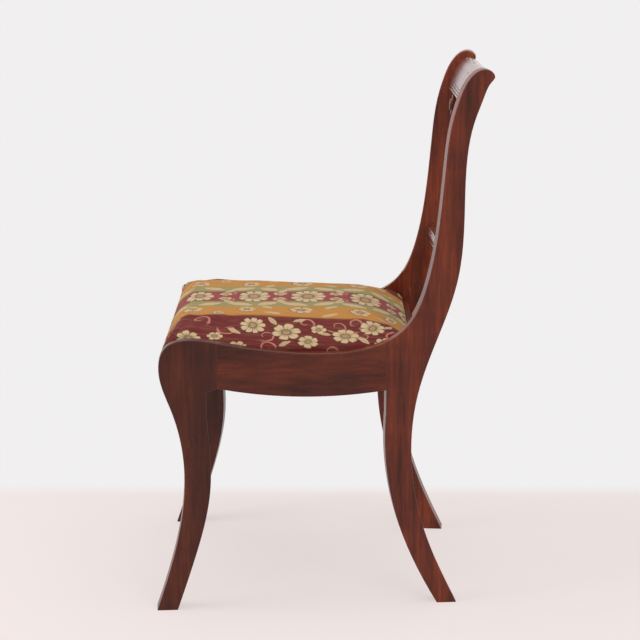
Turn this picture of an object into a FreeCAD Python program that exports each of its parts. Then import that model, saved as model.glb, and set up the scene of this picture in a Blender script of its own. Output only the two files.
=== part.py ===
# Lyre back dining chair with sabre legs and a drop-in seat.
# Frame: millimetres, +Z up, front of the chair towards -Y, sitter's left towards +X.
# The origin is on the floor, under the centre of the chair.
import FreeCAD
import Part
import math
import os

Vector = FreeCAD.Vector

# Overall sizes
overall_height = 840.0
front_width = 480.0          # over the outer faces of the front feet
rear_width = 400.0           # over the outer faces of the rear feet
frame_thickness = 30.0       # of the boards that legs, stiles and side rails are cut from
edge_ease = 1.6              # small rounding along the long edges of the side frames

# Front legs, seen from the side: height, place of the front edge, depth
front_foot_y = -258.5
front_foot_depth = 32.0
front_ankle_z = 78.0
front_ankle_y = -234.0
front_ankle_depth = 33.5
front_waist_z = 205.0
front_waist_y = -213.5
front_waist_depth = 40.5
front_thigh_drop = 20.0      # below the underside of the side rail
front_thigh_y = -232.0
front_thigh_depth = 53.5
knee_y = -250.5
knee_drop = 36.0             # from the top of the knee down to its foremost point
knee_round = 10.5            # how far the corner of the knee is cut back
knee_top_y = -214.0
knee_top_z = 431.5

# Rear legs, seen from the side
rear_heel_y = 211.5
rear_foot_depth = 31.0
rear_ankle_z = 60.0
rear_ankle_y = 183.0         # place of the rear edge
rear_ankle_depth = 35.0
rear_shin_z = 130.0
rear_shin_y = 156.5
rear_shin_depth = 37.0
rear_waist_z = 245.0
rear_waist_y = 138.0
rear_waist_depth = 40.5
rear_shoulder_step = 1.0     # the leg's front edge stands behind the rail joint by this much
rear_shoulder_drop = 30.0    # straight part of that edge, below the rail
rear_thigh_y = 147.5

# Side rails and the joints at their ends
front_joint_y = -161.0
rear_joint_y = 97.0
rail_bottom_z = 340.0        # underside at the middle of the rail
rail_bottom_front_z = 355.0
rail_bottom_rear_z = 347.5
rail_dip_z = 408.0           # top at the middle of the rail
rail_dip_y = 0.0
rail_front_top_z = 426.5
rail_rear_top_z = 424.0
inner_corner_round = 5.0

# Stiles: front edge and depth at a few heights
hip_z = 440.0
hip_y = 122.0
hip_depth = 59.5
lumbar_z = 517.0
lumbar_y = 161.5
lumbar_depth = 45.0
blade_z = 600.0
blade_y = 177.0
blade_depth = 38.5
neck_drop = 150.0            # below the top of the chair
neck_y = 186.0
neck_depth = 31.5
shoulder_drop = 79.0
shoulder_y = 195.5
shoulder_depth = 33.5
brow_drop = 42.0
brow_y = 206.5
brow_depth = 36.0
scroll_drop = 19.0
scroll_y = 217.5
scroll_depth = 36.5
scroll_top_y = 243.0
scroll_tip_y = 258.5
scroll_tip_drop = 12.5
scroll_nose = 4.0            # how far the rounded nose falls short of the tip
scroll_lip_drop = 4.0        # and of the crown of the scroll

# Drop-in seat and the rebate that it lies in
ledge_z = 388.0
ledge_width = 14.0
seat_front_y = -246.0
seat_back_y = 138.0
seat_side_gap = 0.8          # between the cover and the wood beside it
seat_rest_gap = 0.3
dust_cloth_thickness = 0.8
dust_cloth_margin = 9.0
cover_thickness = 1.5
cover_gap = 0.3              # between the cover and what it encloses
cover_turn_under = 22.0
cover_corner_round = 18.0
seat_bar_thickness = 20.0
seat_bar_width = 52.0
strap_width = 50.0
strap_thickness = 1.5
strap_gap = 22.0
strap_margin = 20.0          # from the outer edge of the seat frame to the strap's end
hessian_thickness = 1.0
hessian_margin = 8.0
crown_top_z = 453.0

# Swell of the seat: share of the way from its edge to its middle, depth below the crown
crown_swell = ((0.0, 36.0), (0.025, 28.0), (0.09, 21.5), (0.24, 11.5), (0.46, 4.0), (0.72, 0.5))

# Front and rear rails
front_rail_y = -240.0        # front face
front_rail_thickness = 22.0
front_rail_bottom_z = 345.0
rear_rail_y = 112.0          # front face
rear_rail_thickness = 35.0
rear_rail_bottom_z = 346.0
rear_rail_top_z = 412.0
rear_rail_lip_gap = 1.0

# Joints
tenon_length = 24.0
tenon_thickness = 10.0
tenon_top_drop = 8.0         # below the ledge
tenon_height = 26.0
dowel_radius = 4.0
dowel_in_leg = 16.0
dowel_in_rail = 24.0
dowel_clearance = 0.1
dowel_spacing = 20.0
front_dowel_setback = 11.0   # behind the face of the front rail
rear_dowel_setback = 20.0    # behind the face of the rear rail

# Corner blocks and their screws
block_reach = 58.0
block_height = 32.0
block_drop = 4.0             # below the ledge
screw_radius = 2.0
screw_head_radius = 4.2
screw_length = 38.0
screw_point = 3.0
screw_grip = 15.0            # length of thread in the rail
screw_offset = 21.0          # from the corner to each screw
screw_clearance = 0.1

# Crest rail
crest_setback = 9.0          # behind the front edge of the stiles
crest_back_inset = 1.5
crest_drop = 63.0            # from the top of the chair to its lower edge
crest_bow = 4.0
crest_tenon_length = 16.0
crest_tenon_thickness = 9.0
crest_tenon_height = 26.0
crest_tenon_rise = 26.0      # from the lower edge of the crest rail to the tenon's middle
crest_tip_inset = 4.0
crest_steps = 4              # spans of its curved front and back, two to an arc
crest_trim = 4.0             # its section runs on below its lower edge, to be cut off there
reed_count = 3
reed_width = 4.2
reed_bulge = 1.9
reed_gap = 0.9               # between the reeds, above them and below them
reed_recess = 1.6            # depth of the band behind the face

# Stay rail, the lower cross rail of the back
stay_top_z = 544.0
stay_height = 25.0
stay_y = 177.0               # front face at the stiles
stay_thickness = 18.0
stay_bow = 10.0
stay_bead = 4.5
stay_bead_bulge = 1.6
stay_groove = 1.2
stay_groove_depth = 1.8
stay_band_bulge = 2.4
stay_tenon_length = 16.0
stay_tenon_thickness = 9.0
stay_tenon_height = 17.0

# Lyre
lyre_thickness = 13.0
lyre_setback = 2.5           # behind the face of the stay rail
lyre_crest_setback = 3.0     # behind the face of the crest rail
lyre_base_height = 26.0
lyre_base_half_width = 48.0
lyre_base_top_half_width = 37.0
lyre_base_plinth = 9.0
lyre_base_hollow = 0.2       # depth of its hollow moulding, as a share of the step
lyre_base_thickness = 17.0
lyre_root_x = 25.0
lyre_root_sink = 10.0        # how far the arm's middle line starts inside the base
lyre_root_width = 19.0
lyre_hip_x = 54.0
lyre_hip_rise = 24.0         # above the base
lyre_hip_width = 17.5
lyre_belly_x = 69.0
lyre_belly_rise = 84.0       # above the stay rail
lyre_belly_width = 16.5
lyre_neck_x = 40.0
lyre_neck_drop = 52.0        # below the crest rail
lyre_neck_width = 13.0
lyre_head_x = 62.0
lyre_head_radius = 17.0
lyre_head_thickness = 19.0
boss_radius = 9.5
boss_height = 3.5
boss_round = 2.6
yoke_height = 11.0
yoke_thickness = 10.0
yoke_round = 2.5
string_count = 5
string_pitch = 9.5
string_radius = 1.5
string_seat = 5.0            # depth of the strings' holes in the base
pin_x = 27.0
pin_radius = 2.5
pin_length = 16.0
pin_clearance = 0.1

# Values worked out from the sizes above
splay = math.atan((front_width - rear_width) / 2.0 / (rear_heel_y - front_foot_y))
sin_splay = math.sin(splay)
cos_splay = math.cos(splay)
inner_origin_x = rear_width / 2.0 + rear_heel_y * math.tan(splay) - frame_thickness * cos_splay
crest_bottom_z = overall_height - crest_drop
reed_band = reed_count * (reed_width + reed_gap) + reed_gap
far = 2.0 * (overall_height + front_width)
behind = 2.0 * rear_heel_y     # clear of the chair's back, before the side frames' planes meet
overrun = 1.0                # by which a cutting shape reaches past what it cuts


# Small helpers

def inner_x(y):
    """X of the inner face of the left side frame at a depth y."""
    return inner_origin_x - (y + frame_thickness * sin_splay / 2.0) * math.tan(splay)


def side_line_x(y, outward):
    """X of a plane parallel to the side frame, this far outward of its inner face."""
    return inner_x(y) + outward / cos_splay


def spline(points, stretch=1.0):
    """Smooth curve through (y, z) points of the side view, stretched along y."""
    curve = Part.BSplineCurve()
    curve.interpolate([Vector(0, y * stretch, z) for y, z in points])
    return curve


def line(a, b, stretch=1.0):
    """Straight edge between two points of the side view."""
    return Part.makeLine(Vector(0, a[0] * stretch, a[1]), Vector(0, b[0] * stretch, b[1]))


def face_of(edges):
    """Flat face inside a closed run of edges."""
    return Part.Face(Part.Wire(Part.__sortEdges__(edges)))


def box(x0, x1, y0, y1, z0, z1):
    """Box between two corners."""
    return Part.makeBox(x1 - x0, y1 - y0, z1 - z0, Vector(x0, y0, z0))


def prism(outline, z0, z1):
    """Upright prism over an outline of (x, y) points."""
    corners = [Vector(x, y, z0) for x, y in outline]
    face = Part.Face(Part.makePolygon(corners + corners[:1]))
    return face.extrude(Vector(0, 0, z1 - z0))


def mirrored(shape):
    """The same piece on the other side of the chair."""
    return shape.mirror(Vector(0, 0, 0), Vector(1, 0, 0))


def whole(shape):
    """The single solid of a shape, or the shape if it holds several."""
    return shape.Solids[0] if len(shape.Solids) == 1 else shape


def fused(shapes):
    """All shapes joined into one solid."""
    result = shapes[0]
    for shape in shapes[1:]:
        result = result.fuse(shape)
    return whole(result.removeSplitter())


def group(shapes):
    """Separate solids kept together in one sub-part."""
    return Part.makeCompound([solid for shape in shapes for solid in shape.Solids])


def export(name, shape):
    """Write one sub-part."""
    shape.exportStep("parts/" + name + ".step")


# Side frames

def along(y):
    """Length along the splayed side frame for a depth y of the chair."""
    return y / cos_splay


def place_side(shape):
    """Turn a shape drawn along the side frame into its splayed place on the left."""
    moved = shape.copy()
    moved.rotate(Vector(0, 0, 0), Vector(0, 0, 1), math.degrees(splay))
    moved.translate(Vector(inner_origin_x, -frame_thickness * sin_splay / 2.0, 0))
    return moved


stile_front_points = [
    (hip_y, hip_z),
    (lumbar_y, lumbar_z),
    (blade_y, blade_z),
    (neck_y, overall_height - neck_drop),
    (shoulder_y, overall_height - shoulder_drop),
    (brow_y, overall_height - brow_drop),
    (scroll_y, overall_height - scroll_drop),
]
stile_rear_points = [
    (scroll_y + scroll_depth, overall_height - scroll_drop),
    (brow_y + brow_depth, overall_height - brow_drop),
    (shoulder_y + shoulder_depth, overall_height - shoulder_drop),
    (neck_y + neck_depth, overall_height - neck_drop),
    (blade_y + blade_depth, blade_z),
    (lumbar_y + lumbar_depth, lumbar_z),
    (hip_y + hip_depth, hip_z),
]
scroll_tip = (scroll_tip_y, overall_height - scroll_tip_drop)
scroll_lip = (scroll_top_y, overall_height)
scroll_middle = (scroll_tip_y - scroll_nose, overall_height - scroll_lip_drop)
rail_front_top = (front_joint_y, rail_front_top_z)
rail_rear_top = (rear_joint_y, rail_rear_top_z)
rail_front_bottom = (front_joint_y, rail_bottom_front_z)
rail_rear_bottom = (rear_joint_y + rear_shoulder_step, rail_bottom_rear_z)


def outer_curve(stretch=1.0):
    """One flowing line: front leg, rail, stile, round the scroll and down the rear leg."""
    return spline([
        (front_foot_y, 0.0),
        (front_ankle_y, front_ankle_z),
        (front_waist_y, front_waist_z),
        (front_thigh_y, rail_bottom_z - front_thigh_drop),
        (knee_y, knee_top_z - knee_drop),
        (knee_y + knee_round, knee_top_z - knee_round),
        (knee_top_y, knee_top_z),
        rail_front_top,
        (rail_dip_y, rail_dip_z),
        rail_rear_top,
    ] + stile_front_points + [scroll_lip, scroll_middle, scroll_tip] + stile_rear_points + [
        (rear_thigh_y, rail_bottom_z),
        (rear_waist_y, rear_waist_z),
        (rear_shin_y, rear_shin_z),
        (rear_ankle_y, rear_ankle_z),
        (rear_heel_y, 0.0),
    ], stretch)


def outer_edges(stretch=1.0):
    """The outer line cut where the rail meets the legs and at the tip of the scroll."""
    curve = outer_curve(stretch)
    cuts = [curve.FirstParameter]
    for y, z in (rail_front_top, rail_rear_top, scroll_tip):
        cuts.append(curve.parameter(Vector(0, y * stretch, z)))
    cuts.append(curve.LastParameter)
    return [curve.toShape(first, last) for first, last in zip(cuts, cuts[1:])]


def side_outline(stretch=1.0):
    """Outline of a whole side frame in the side view."""
    heel = (rear_heel_y, 0.0)
    rear_toe = (rear_heel_y - rear_foot_depth, 0.0)
    front_heel = (front_foot_y + front_foot_depth, 0.0)
    front_toe = (front_foot_y, 0.0)
    shoulder = (front_thigh_y + front_thigh_depth, rail_bottom_front_z - inner_corner_round)
    rear_shoulder = (rail_rear_bottom[0], rail_bottom_z - rear_shoulder_drop)
    rear_leg_front = spline([
        rear_toe,
        (rear_ankle_y - rear_ankle_depth, rear_ankle_z),
        (rear_shin_y - rear_shin_depth, rear_shin_z),
        (rear_waist_y - rear_waist_depth, rear_waist_z),
        rear_shoulder,
    ], stretch)
    rail_underside = spline([
        rail_rear_bottom,
        ((front_joint_y + rear_joint_y) / 2.0, rail_bottom_z),
        rail_front_bottom,
    ], stretch)
    front_leg_rear = spline([
        shoulder,
        (front_thigh_y + front_thigh_depth, rail_bottom_z - front_thigh_drop),
        (front_waist_y + front_waist_depth, front_waist_z),
        (front_ankle_y + front_ankle_depth, front_ankle_z),
        front_heel,
    ], stretch)
    return [
        *outer_edges(stretch),
        line(heel, rear_toe, stretch),
        rear_leg_front.toShape(),
        line(rear_shoulder, rail_rear_bottom, stretch),
        rail_underside.toShape(),
        line(rail_front_bottom, shoulder, stretch),
        front_leg_rear.toShape(),
        line(front_heel, front_toe, stretch),
    ]


def eased_side():
    """Solid of a whole side frame with its long edges slightly rounded."""
    face = face_of(side_outline(1.0 / cos_splay))
    solid = face.extrude(Vector(frame_thickness, 0, 0))
    long_edges = []
    for edge in solid.Edges:
        flat = edge.BoundBox.XLength < edge_ease
        if flat and edge.BoundBox.ZMax > edge_ease:
            long_edges.append(edge)
    return solid.makeFillet(edge_ease, long_edges)


def rebate():
    """Space cut from the inner half of the side frame for the drop-in seat."""
    reach = along(seat_back_y + seat_side_gap + frame_thickness * sin_splay / 2.0)
    return box(-overrun, ledge_width, -far, reach, ledge_z, overall_height)


def rail_tenon(joint_y, direction):
    """Tenon at one end of a side rail, drawn along the side frame."""
    root = along(joint_y)
    tip = root + direction * tenon_length
    middle = frame_thickness / 2.0
    top = ledge_z - tenon_top_drop
    return box(
        middle - tenon_thickness / 2.0, middle + tenon_thickness / 2.0,
        min(root, tip), max(root, tip), top - tenon_height, top,
    )


def side_pieces():
    """Front leg, side rail and rear leg with its stile, for the left side."""
    solid = eased_side()
    front_end = along(front_joint_y)
    rear_end = along(rear_joint_y)
    middle = (front_end + rear_end) / 2.0
    rail_space = box(-overrun, far, front_end, rear_end, rail_bottom_z - overrun, far)
    front_half = box(-overrun, far, -far, middle, -overrun, far)
    rear_half = box(-overrun, far, middle, far, -overrun, far)
    front_tenon = rail_tenon(front_joint_y, -1)
    rear_tenon = rail_tenon(rear_joint_y, 1)
    open_side = solid.cut(rebate())
    leg = open_side.common(front_half).cut(rail_space).cut(front_tenon)
    stile = open_side.common(rear_half).cut(rail_space).cut(rear_tenon)
    rail = fused([open_side.common(rail_space), front_tenon, rear_tenon])
    return [place_side(whole(piece)) for piece in (leg, rail, stile)]


# Space between the side frames

def between_sides(y0, y1, z0, z1, outward=0.0):
    """Prism between the two side frames, or reaching this far into them."""
    outline = [
        (-side_line_x(y0, outward), y0),
        (side_line_x(y0, outward), y0),
        (side_line_x(y1, outward), y1),
        (-side_line_x(y1, outward), y1),
    ]
    return prism(outline, z0, z1)


def dowel_rod(y, z, extra):
    """Dowel on the left between a cross rail and a leg, thicker by extra for its bore."""
    x = inner_x(y)
    start = x - dowel_in_rail - extra
    length = dowel_in_rail + dowel_in_leg + 2.0 * extra
    return Part.makeCylinder(dowel_radius + extra, length, Vector(start, y, z), Vector(1, 0, 0))


def dowel_pair(y, bottom_z, extra=0.0):
    """Two dowels one above the other, on the left."""
    middle = (bottom_z + ledge_z) / 2.0
    heights = (middle - dowel_spacing / 2.0, middle + dowel_spacing / 2.0)
    return [dowel_rod(y, z, extra) for z in heights]


def front_rail_solid():
    """Front rail between the front legs, under the overhang of the seat."""
    return between_sides(
        front_rail_y, front_rail_y + front_rail_thickness, front_rail_bottom_z, ledge_z
    )


def rear_rail_solid():
    """Rear rail between the rear legs, with a ledge for the seat and a lip behind it."""
    back = rear_rail_y + rear_rail_thickness
    lip_front = seat_back_y + rear_rail_lip_gap
    low = between_sides(rear_rail_y, back, rear_rail_bottom_z, ledge_z)
    lip = between_sides(lip_front, back, ledge_z, rear_rail_top_z)
    return fused([low, lip])


# Corner blocks

def corner_axes(corner_y, inward):
    """Corner point, direction along the side and direction along the cross rail."""
    corner = Vector(inner_x(corner_y), corner_y, 0)
    along_side = Vector(-inward * sin_splay, inward * cos_splay, 0)
    across = Vector(-1, 0, 0)
    return corner, along_side, across


def corner_block(corner_y, inward):
    """Triangular block glued into a corner on the left."""
    corner, along_side, across = corner_axes(corner_y, inward)
    side_end = corner + along_side * block_reach
    cross_end = corner + across * block_reach
    outline = [(corner.x, corner.y), (side_end.x, side_end.y), (cross_end.x, cross_end.y)]
    top = ledge_z - block_drop
    return prism(outline, top - block_height, top)


def screw_shape(extra, head_room):
    """Countersunk wood screw along +Z with its tip at the origin, or its bore."""
    radius = screw_radius + extra
    head = screw_head_radius + extra
    cone = screw_head_radius - screw_radius
    points = [
        (0, -extra),
        (radius, screw_point),
        (radius, screw_length - cone),
        (head, screw_length),
        (head, screw_length + head_room),
        (0, screw_length + head_room),
    ]
    if head_room == 0.0:
        points = points[:4] + [(0, screw_length)]
    corners = [Vector(r, 0, z) for r, z in points]
    face = Part.Face(Part.makePolygon(corners + corners[:1]))
    return face.revolve(Vector(0, 0, 0), Vector(0, 0, 1), 360)


def block_screws(corner_y, inward, extra=0.0, head_room=0.0):
    """One screw into the side frame and one into the cross rail, on the left."""
    corner, along_side, across = corner_axes(corner_y, inward)
    level = ledge_z - block_drop - block_height / 2.0
    side_out = Vector(cos_splay, sin_splay, 0)
    rail_out = Vector(0, -inward, 0)
    placed = []
    starts = (
        (corner + along_side * screw_offset, side_out),
        (corner + across * screw_offset, rail_out),
    )
    for foot, outward in starts:
        tip = foot + outward * screw_grip
        screw = screw_shape(extra, head_room)
        turn = FreeCAD.Rotation(Vector(0, 0, 1), outward * -1)
        screw.Placement = FreeCAD.Placement(Vector(tip.x, tip.y, level), turn)
        placed.append(screw)
    return placed


# Cross rails of the back

def bowed_half(face, bow, middle_y):
    """Turn an upright section at the chair's centre plane into the left half of a bowed rail."""
    half = inner_x(middle_y) + frame_thickness
    radius = half * half / (2.0 * bow) + bow / 2.0
    centre = Vector(0, middle_y + bow - radius, 0)
    angle = math.degrees(math.asin(half / radius))
    shifted = face.copy()
    shifted.translate(Vector(0, bow, 0))
    return shifted.revolve(centre, Vector(0, 0, -1), angle)


def normal_offset(curve, parameter, distance):
    """Point beside a curve of the side view, this far to the right of its direction."""
    point = curve.value(parameter)
    tangent = curve.tangent(parameter)[0]
    return (point.y + tangent.z * distance, point.z - tangent.y * distance)


def arcs(points):
    """Run of arcs through points of the side view, two spans to an arc."""
    run = []
    for first, middle, last in zip(points[0::2], points[1::2], points[2::2]):
        run.append(Part.Arc(Vector(0, *first), Vector(0, *middle), Vector(0, *last)).toShape())
    return run


def beside_outline(start, end, distance):
    """Points along the outer line from start to end, this far inside it."""
    curve = outer_curve()
    first = curve.parameter(Vector(0, *start))
    last = curve.parameter(Vector(0, *end))
    points = []
    for step in range(crest_steps + 1):
        parameter = first + (last - first) * step / crest_steps
        points.append(normal_offset(curve, parameter, distance))
    return points


def crest_foot():
    """Foot of the crest rail's front face and the direction in which it rises from there."""
    curve = outer_curve()
    parameter = curve.parameter(Vector(0, shoulder_y, crest_bottom_z + reed_band / 2.0))
    tangent = curve.tangent(parameter)[0]
    y, z = normal_offset(curve, parameter, crest_setback)
    distance = (crest_bottom_z - z) / tangent.z
    return (y + tangent.y * distance, crest_bottom_z), (tangent.y, tangent.z)


def crest_section():
    """Section of the crest rail, with a reeded band along its lower edge."""
    foot, rise = crest_foot()

    def beside(distance, depth):
        """Point this far up the band and this deep behind its face."""
        return (
            foot[0] + rise[0] * distance + rise[1] * depth,
            foot[1] + rise[1] * distance - rise[0] * depth,
        )

    start = beside(-crest_trim, reed_recess)
    here = start
    edges = []
    for reed in range(reed_count):
        height = reed_gap + reed * (reed_width + reed_gap)
        low = beside(height, reed_recess)
        crown = beside(height + reed_width / 2.0, reed_recess - reed_bulge)
        high = beside(height + reed_width, reed_recess)
        edges.append(line(here, low))
        edges += arcs([low, crown, high])
        here = high
    top = beside(reed_band, reed_recess)
    front = beside_outline(beside(reed_band, -crest_setback), scroll_lip, crest_setback)
    curve = outer_curve()
    nose = normal_offset(curve, curve.parameter(Vector(0, *scroll_middle)), crest_setback)
    tip = (scroll_tip_y - crest_tip_inset, scroll_tip[1] - crest_back_inset)
    rear_foot = (shoulder_y + shoulder_depth, crest_bottom_z - crest_trim)
    back = beside_outline(stile_rear_points[0], rear_foot, crest_back_inset)
    edges += [line(here, top), line(top, front[0])]
    edges += arcs(front + [nose, tip])
    edges.append(line(tip, back[0]))
    edges += arcs(back)
    edges.append(line(back[-1], start))
    return face_of(edges)


def crest_tenon():
    """Left tenon of the crest rail, leaning with the stile."""
    foot, rise = crest_foot()
    half_thickness = (shoulder_depth - crest_setback - crest_back_inset) / 2.0
    tenon = box(
        -overrun, crest_tenon_length,
        -crest_tenon_thickness / 2.0, crest_tenon_thickness / 2.0,
        -crest_tenon_height / 2.0, crest_tenon_height / 2.0,
    )
    tenon.rotate(Vector(0, 0, 0), Vector(1, 0, 0), -math.degrees(math.atan2(*rise)))
    centre_y = foot[0] + rise[0] * crest_tenon_rise + rise[1] * half_thickness
    centre_z = foot[1] + rise[1] * crest_tenon_rise - rise[0] * half_thickness
    tenon.translate(Vector(0, along(centre_y), centre_z))
    return place_side(tenon)


def crest_rail_parts():
    """Crest rail with its tenons, and the left tenon alone for its mortise."""
    middle_y = (shoulder_y + scroll_tip_y) / 2.0
    space = between_sides(0.0, 2.0 * scroll_tip_y, crest_bottom_z, overall_height)
    left = bowed_half(crest_section(), crest_bow, middle_y).common(space).fuse(crest_tenon())
    return fused([left, mirrored(left)]), crest_tenon()


def stay_section():
    """Section of the stay rail: a bead, a wide band and a bead on its face."""
    bottom_z = stay_top_z - stay_height
    band = stay_height - 2.0 * (stay_bead + stay_groove)
    levels = [stay_top_z]
    for height in (stay_bead, stay_groove, band, stay_groove, stay_bead):
        levels.append(levels[-1] - height)
    back_y = stay_y + stay_thickness
    groove_y = stay_y + stay_groove_depth

    def bulge(top_z, low_z, depth):
        """Rounded front of a bead or band."""
        middle = Vector(0, stay_y - depth, (top_z + low_z) / 2.0)
        return Part.Arc(Vector(0, stay_y, top_z), middle, Vector(0, stay_y, low_z)).toShape()

    def groove(top_z, low_z):
        """Square groove between a bead and the band."""
        return [
            line((stay_y, top_z), (groove_y, top_z)),
            line((groove_y, top_z), (groove_y, low_z)),
            line((groove_y, low_z), (stay_y, low_z)),
        ]

    edges = [bulge(levels[0], levels[1], stay_bead_bulge)]
    edges += groove(levels[1], levels[2])
    edges.append(bulge(levels[2], levels[3], stay_band_bulge))
    edges += groove(levels[3], levels[4])
    edges.append(bulge(levels[4], levels[5], stay_bead_bulge))
    edges.append(line((stay_y, bottom_z), (back_y, bottom_z)))
    edges.append(line((back_y, bottom_z), (back_y, stay_top_z)))
    edges.append(line((back_y, stay_top_z), (stay_y, stay_top_z)))
    return face_of(edges)


def stay_rail_parts():
    """Stay rail with its tenons, and the left tenon alone for its mortise."""
    bottom_z = stay_top_z - stay_height
    centre = along(stay_y + stay_thickness / 2.0)
    middle_z = stay_top_z - stay_height / 2.0
    tenon = place_side(box(
        -overrun, stay_tenon_length,
        centre - stay_tenon_thickness / 2.0, centre + stay_tenon_thickness / 2.0,
        middle_z - stay_tenon_height / 2.0, middle_z + stay_tenon_height / 2.0,
    ))
    space = between_sides(0.0, behind, bottom_z, stay_top_z)
    left = bowed_half(stay_section(), stay_bow, stay_y).common(space).fuse(tenon)
    return fused([left, mirrored(left)]), tenon


# Lyre, drawn upright at y = 0 and then leaned back between the two cross rails

lyre_low_y = stay_y + stay_bow + lyre_setback + lyre_thickness / 2.0
lyre_high_y = crest_foot()[0][0] + crest_bow + lyre_crest_setback + lyre_thickness / 2.0
lyre_lean = math.atan((lyre_high_y - lyre_low_y) / (crest_bottom_z - stay_top_z))
lyre_top_z = stay_top_z + (crest_bottom_z - stay_top_z) / math.cos(lyre_lean)
base_top_z = stay_top_z + lyre_base_height
head_z = lyre_top_z - lyre_head_radius
yoke_z = lyre_top_z - lyre_neck_drop


def lean(shape):
    """Lean a shape drawn at y = 0 back into the plane of the lyre."""
    tilted = shape.copy()
    tilted.rotate(Vector(0, 0, stay_top_z), Vector(1, 0, 0), -math.degrees(lyre_lean))
    tilted.translate(Vector(0, lyre_low_y, 0))
    return tilted


def front_spline(points):
    """Smooth curve through (x, z) points of the front view."""
    curve = Part.BSplineCurve()
    curve.interpolate([Vector(x, 0, z) for x, z in points])
    return curve


def front_line(a, b):
    """Straight edge between two (x, z) points of the front view."""
    return Part.makeLine(Vector(a[0], 0, a[1]), Vector(b[0], 0, b[1]))


def thick_plate(face, thickness):
    """Plate of this thickness, centred on the plane of its face."""
    plate = face.extrude(Vector(0, thickness, 0))
    plate.translate(Vector(0, -thickness / 2.0, 0))
    return plate


def lyre_arm_plate():
    """Left arm of the lyre from its root on the base to its scroll head."""
    stations = [
        (lyre_root_x, base_top_z - lyre_root_sink, lyre_root_width),
        (lyre_hip_x, base_top_z + lyre_hip_rise, lyre_hip_width),
        (lyre_belly_x, stay_top_z + lyre_belly_rise, lyre_belly_width),
        (lyre_neck_x, yoke_z, lyre_neck_width),
        (lyre_head_x - lyre_head_radius / 2.0, head_z + lyre_head_radius / 2.0, lyre_neck_width),
    ]
    curve = front_spline([(x, z) for x, z, width in stations])
    places = [curve.parameter(Vector(x, 0, z)) for x, z, width in stations]
    outer, inner = [], []
    for index in range(2 * len(stations) - 1):
        low = index // 2
        high = (index + 1) // 2
        parameter = (places[low] + places[high]) / 2.0
        half = (stations[low][2] + stations[high][2]) / 4.0
        point = curve.value(parameter)
        tangent = curve.tangent(parameter)[0]
        outer.append((point.x + tangent.z * half, point.z - tangent.x * half))
        inner.append((point.x - tangent.z * half, point.z + tangent.x * half))
    edges = [
        front_spline(outer).toShape(),
        front_spline(inner).toShape(),
        front_line(outer[0], inner[0]),
        front_line(outer[-1], inner[-1]),
    ]
    arm = thick_plate(face_of(edges), lyre_thickness)
    ring = Part.makeCircle(lyre_head_radius, Vector(lyre_head_x, 0, head_z), Vector(0, 1, 0))
    head = thick_plate(Part.Face(Part.Wire(ring)), lyre_head_thickness)
    return fused([arm, head])


def lyre_base_plate():
    """Base of the lyre, with a hollow moulding above its plinth."""
    half = lyre_base_half_width
    top_half = lyre_base_top_half_width
    low = stay_top_z - lyre_base_thickness
    plinth = stay_top_z + lyre_base_plinth
    middle_x = top_half + (half - top_half) * (0.5 - lyre_base_hollow)
    middle_z = plinth + (base_top_z - plinth) * (0.5 - lyre_base_hollow)
    edges = [
        front_line((-half, low), (half, low)),
        front_line((-top_half, base_top_z), (top_half, base_top_z)),
    ]
    for sign in (-1, 1):
        edges.append(front_line((sign * half, low), (sign * half, plinth)))
        hollow = Part.Arc(
            Vector(sign * half, 0, plinth),
            Vector(sign * middle_x, 0, middle_z),
            Vector(sign * top_half, 0, base_top_z),
        )
        edges.append(hollow.toShape())
    return thick_plate(face_of(edges), lyre_base_thickness)


def yoke_bar(arms):
    """Bar across the necks of the arms, from which the strings run down."""
    bar = box(
        -lyre_neck_x, lyre_neck_x,
        -yoke_thickness / 2.0, yoke_thickness / 2.0,
        yoke_z - yoke_height / 2.0, yoke_z + yoke_height / 2.0,
    )
    long_edges = [edge for edge in bar.Edges if edge.BoundBox.XLength > lyre_neck_x]
    return bar.makeFillet(yoke_round, long_edges).cut(arms)


def string_rods():
    """Strings from the base up into the yoke, evenly spaced."""
    low = base_top_z - string_seat
    rods = []
    for index in range(string_count):
        x = (index - (string_count - 1) / 2.0) * string_pitch
        foot = Vector(x, 0, low)
        rods.append(Part.makeCylinder(string_radius, yoke_z - low, foot, Vector(0, 0, 1)))
    return rods


def arm_pins(extra=0.0):
    """Pins between the base and the roots of the arms, thicker by extra for their bores."""
    length = pin_length + 2.0 * extra
    pins = []
    for sign in (-1, 1):
        foot = Vector(sign * pin_x, 0, base_top_z - length / 2.0)
        pins.append(Part.makeCylinder(pin_radius + extra, length, foot, Vector(0, 0, 1)))
    return pins


def head_bosses():
    """Turned bosses on the faces of the two scroll heads."""
    turned = Part.makeCylinder(boss_radius, boss_height)
    rim = [edge for edge in turned.Edges if edge.BoundBox.ZMin > boss_height / 2.0]
    turned = turned.makeFillet(boss_round, rim)
    turn = FreeCAD.Rotation(Vector(0, 0, 1), Vector(0, -1, 0))
    bosses = []
    for sign in (-1, 1):
        boss = turned.copy()
        face = Vector(sign * lyre_head_x, -lyre_head_thickness / 2.0, head_z)
        boss.Placement = FreeCAD.Placement(face, turn)
        bosses.append(boss)
    return bosses


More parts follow.
